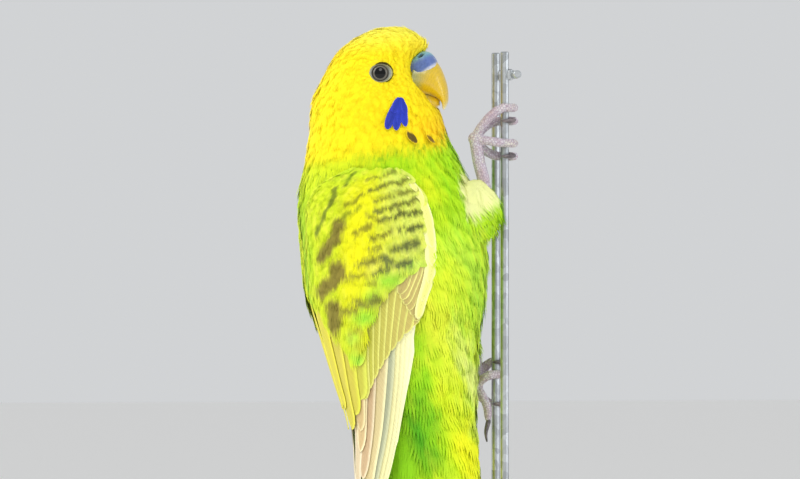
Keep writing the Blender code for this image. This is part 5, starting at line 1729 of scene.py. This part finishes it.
# Galvanised wire: dull grey zinc with a faint spangle and small runs
wire_finish, shader, tree = new_material("galvanised_wire", "#B4B8BA", 0.38, Metallic=1.0)
place = add_node(tree, "ShaderNodeTexCoord").outputs["Object"]
spangle = add_node(tree, "ShaderNodeTexVoronoi", {"Vector": place, "Scale": 500.0}).outputs["Color"]
zinc = add_node(tree, "ShaderNodeValToRGB", {0: spangle}, stops=((0.2, "#A2A6A8"), (0.8, "#C4C8CA")))
tree.links.new(zinc.outputs["Color"], shader.inputs["Base Color"])
runs = add_node(tree, "ShaderNodeTexNoise", {"Vector": place, "Scale": 350.0, "Detail": 3.0}).outputs["Fac"]
gloss = add_node(tree, "ShaderNodeMapRange", {0: runs, 3: 0.28, 4: 0.5})
tree.links.new(gloss.outputs[0], shader.inputs["Roughness"])
relief = add_node(tree, "ShaderNodeBump", {"Height": runs, "Strength": 0.2, "Distance": 0.0001})
tree.links.new(relief.outputs["Normal"], shader.inputs["Normal"])

cross_x = WIRE_X + 2 * WIRE_RADIUS + 0.3
for name, side in (("right", -1), ("left", 1)):
    bar = bar_profile(WIRE_RADIUS, WIRE_BOTTOM_Z, WIRE_TOP_Z, WIRE_CHAMFER)
    mesh = turned_mesh("wire_" + name, bar, WIRE_SIDES, (WIRE_X, side * WIRE_PITCH / 2, 0))
    wire = new_piece("wire_" + name, mesh, wire_finish)
    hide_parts("perch_wire_" + name)
for name, height in zip(("upper", "lower"), CROSS_WIRE_HEIGHTS):
    bar = bar_profile(WIRE_RADIUS, -CROSS_WIRE_HALF, CROSS_WIRE_HALF, WIRE_CHAMFER)
    mesh = turned_mesh("cross_wire_" + name, bar, WIRE_SIDES, (cross_x, 0, height), 'Y')
    wire = new_piece("cross_wire_" + name, mesh, wire_finish)
    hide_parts("perch_cross_wire_" + name)
    for side in (-1, 1):
        label = "weld_%s_%s" % (name, "left" if side > 0 else "right")
        crossing = ((WIRE_X + cross_x) / 2, side * WIRE_PITCH / 2, height)
        weld = new_piece(label, turned_mesh(label, WELD_PROFILE, WELD_SIDES, crossing), wire_finish)

# Drawn stainless rod: fine lines along it and a satin shine
rod_finish, shader, tree = new_material("drawn_steel_rod", "#C6C8CA", 0.26, Metallic=1.0)
place = add_node(tree, "ShaderNodeTexCoord").outputs["Object"]
stretch = add_node(tree, "ShaderNodeMapping", {"Vector": place, "Scale": (3000.0, 3000.0, 20.0)})
lines = add_node(tree, "ShaderNodeTexNoise", {"Vector": stretch.outputs[0], "Scale": 1.0, "Detail": 2.0})
gloss = add_node(tree, "ShaderNodeMapRange", {0: lines.outputs["Fac"], 3: 0.2, 4: 0.38})
tree.links.new(gloss.outputs[0], shader.inputs["Roughness"])
rod_bore = WIRE_RADIUS + 0.3
rod_profile = ((ROD_RADIUS - 0.4, BASE_HEIGHT + 0.1), (ROD_RADIUS, BASE_HEIGHT + 0.1),
               (ROD_RADIUS, ROD_TOP_Z - 0.5), (ROD_RADIUS - 0.5, ROD_TOP_Z), (rod_bore, ROD_TOP_Z),
               (rod_bore, ROD_TOP_Z - 6.6))
for name, side in (("right", -1), ("left", 1)):
    mesh = turned_mesh("rod_" + name, rod_profile, ROD_SIDES, (WIRE_X, side * WIRE_PITCH / 2, 0))
    rod = new_piece("rod_" + name, mesh, rod_finish)
    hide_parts("stand_rod_" + name)

# Oiled beech: warm pale ground, soft grain lines along X and short dark flecks
beech_finish, shader, tree = new_material("oiled_beech", "#C99A68", 0.45, IOR=1.5, Coat_Weight=0.1,
                                          Coat_Roughness=0.3)
place = add_node(tree, "ShaderNodeTexCoord").outputs["Object"]
stretch = add_node(tree, "ShaderNodeMapping", {"Vector": place, "Scale": (14.0, 170.0, 170.0)})
grain = add_node(tree, "ShaderNodeTexNoise", {"Vector": stretch.outputs[0], "Scale": 1.0, "Detail": 5.0})
fleck_map = add_node(tree, "ShaderNodeMapping", {"Vector": place, "Scale": (260.0, 1500.0, 1500.0)})
fleck = add_node(tree, "ShaderNodeTexVoronoi", {"Vector": fleck_map.outputs[0], "Scale": 1.0})
wood = add_node(tree, "ShaderNodeValToRGB", {0: grain.outputs["Fac"]},
                stops=((0.3, "#B98556"), (0.5, "#CB9C6A"), (0.7, "#DDB483"))).outputs["Color"]
fleck_share = add_node(tree, "ShaderNodeMapRange",
                       {0: fleck.outputs["Distance"], 1: 0.08, 2: 0.22, 3: 0.55, 4: 0.0})
wood = add_node(tree, "ShaderNodeMix", {0: fleck_share.outputs[0], 6: wood, 7: (*linear("#8A5C38"), 1.0)},
                data_type='RGBA').outputs[2]
tree.links.new(wood, shader.inputs["Base Color"])
relief = add_node(tree, "ShaderNodeBump",
                  {"Height": grain.outputs["Fac"], "Strength": 0.15, "Distance": 0.0003})
tree.links.new(relief.outputs["Normal"], shader.inputs["Normal"])
rim = ((BASE_RADIUS - 1.0, 0.0), (BASE_RADIUS, 0.8), (BASE_RADIUS, BASE_HEIGHT - 1.6),
       (BASE_RADIUS - 0.25, BASE_HEIGHT - 0.9), (BASE_RADIUS - 0.75, BASE_HEIGHT - 0.3),
       (BASE_RADIUS - 1.6, BASE_HEIGHT))
base = new_piece("beech_disc", turned_mesh("beech_disc", rim, BASE_SIDES, (0, 0, 0)), beech_finish)
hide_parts("stand_base")


# Floor, light and camera
# The floor and the light are a plain pale studio. The camera stands level with the bird's breast,
# ten degrees behind its right side.

PHOTO_WIDTH = 800
PIXEL = 0.26                    # millimetres on the bird for one pixel of the photograph
VIEW_HEIGHT = 170.2
VIEW_AZIMUTH = math.radians(-10.0)
VIEW_DISTANCE = 2.0
FLOOR_HALF = 6000.0

floor_corners = np.array([(-1, -1, 0), (1, -1, 0), (1, 1, 0), (-1, 1, 0)]) * FLOOR_HALF
floor_mesh = mesh_from("floor", floor_corners, [(0, 1, 2, 3)])
floor_finish = new_material("pale_paper_floor", "#FBFAF8", 0.9)[0]
floor = bpy.data.objects.new("floor", floor_mesh)
floor.data.materials.append(floor_finish)
bpy.context.scene.collection.objects.link(floor)

world = bpy.data.worlds.new("studio")
world.use_nodes = True
world.node_tree.nodes["Background"].inputs["Color"].default_value = (*linear("#F2F4F6"), 1.0)
world.node_tree.nodes["Background"].inputs["Strength"].default_value = 0.72
bpy.context.scene.world = world


def soft_light(name, place, target, size, power, colour):
    lamp = bpy.data.lights.new(name, 'AREA')
    lamp.shape = 'DISK'
    lamp.size = size
    lamp.energy = power
    lamp.color = linear(colour)
    holder = bpy.data.objects.new(name, lamp)
    holder.location = place
    holder.rotation_euler = (Vector(target) - Vector(place)).to_track_quat('-Z', 'Y').to_euler()
    bpy.context.scene.collection.objects.link(holder)


soft_light("key", (-0.35, -0.9, 0.95), (0, 0, 0.15), 0.7, 6.4, "#FFFDF8")
soft_light("fill", (0.9, -0.5, 0.4), (0, 0, 0.15), 0.8, 3.2, "#F4F8FF")
soft_light("back", (-1.0, 0.25, 0.7), (0, 0, 0.15), 0.8, 6.0, "#FFFFFF")

lens = bpy.data.cameras.new("camera")
lens.sensor_width = 36.0
lens.lens = 36.0 * VIEW_DISTANCE / (PHOTO_WIDTH * PIXEL * MM)
lens.clip_start = 0.05
camera = bpy.data.objects.new("camera", lens)
camera.location = (math.sin(VIEW_AZIMUTH) * VIEW_DISTANCE, -math.cos(VIEW_AZIMUTH) * VIEW_DISTANCE,
                   VIEW_HEIGHT * MM)
camera.rotation_euler = (math.pi / 2, 0.0, VIEW_AZIMUTH)
bpy.context.scene.collection.objects.link(camera)
bpy.context.scene.camera = camera
bpy.context.scene.view_settings.view_transform = 'Standard'
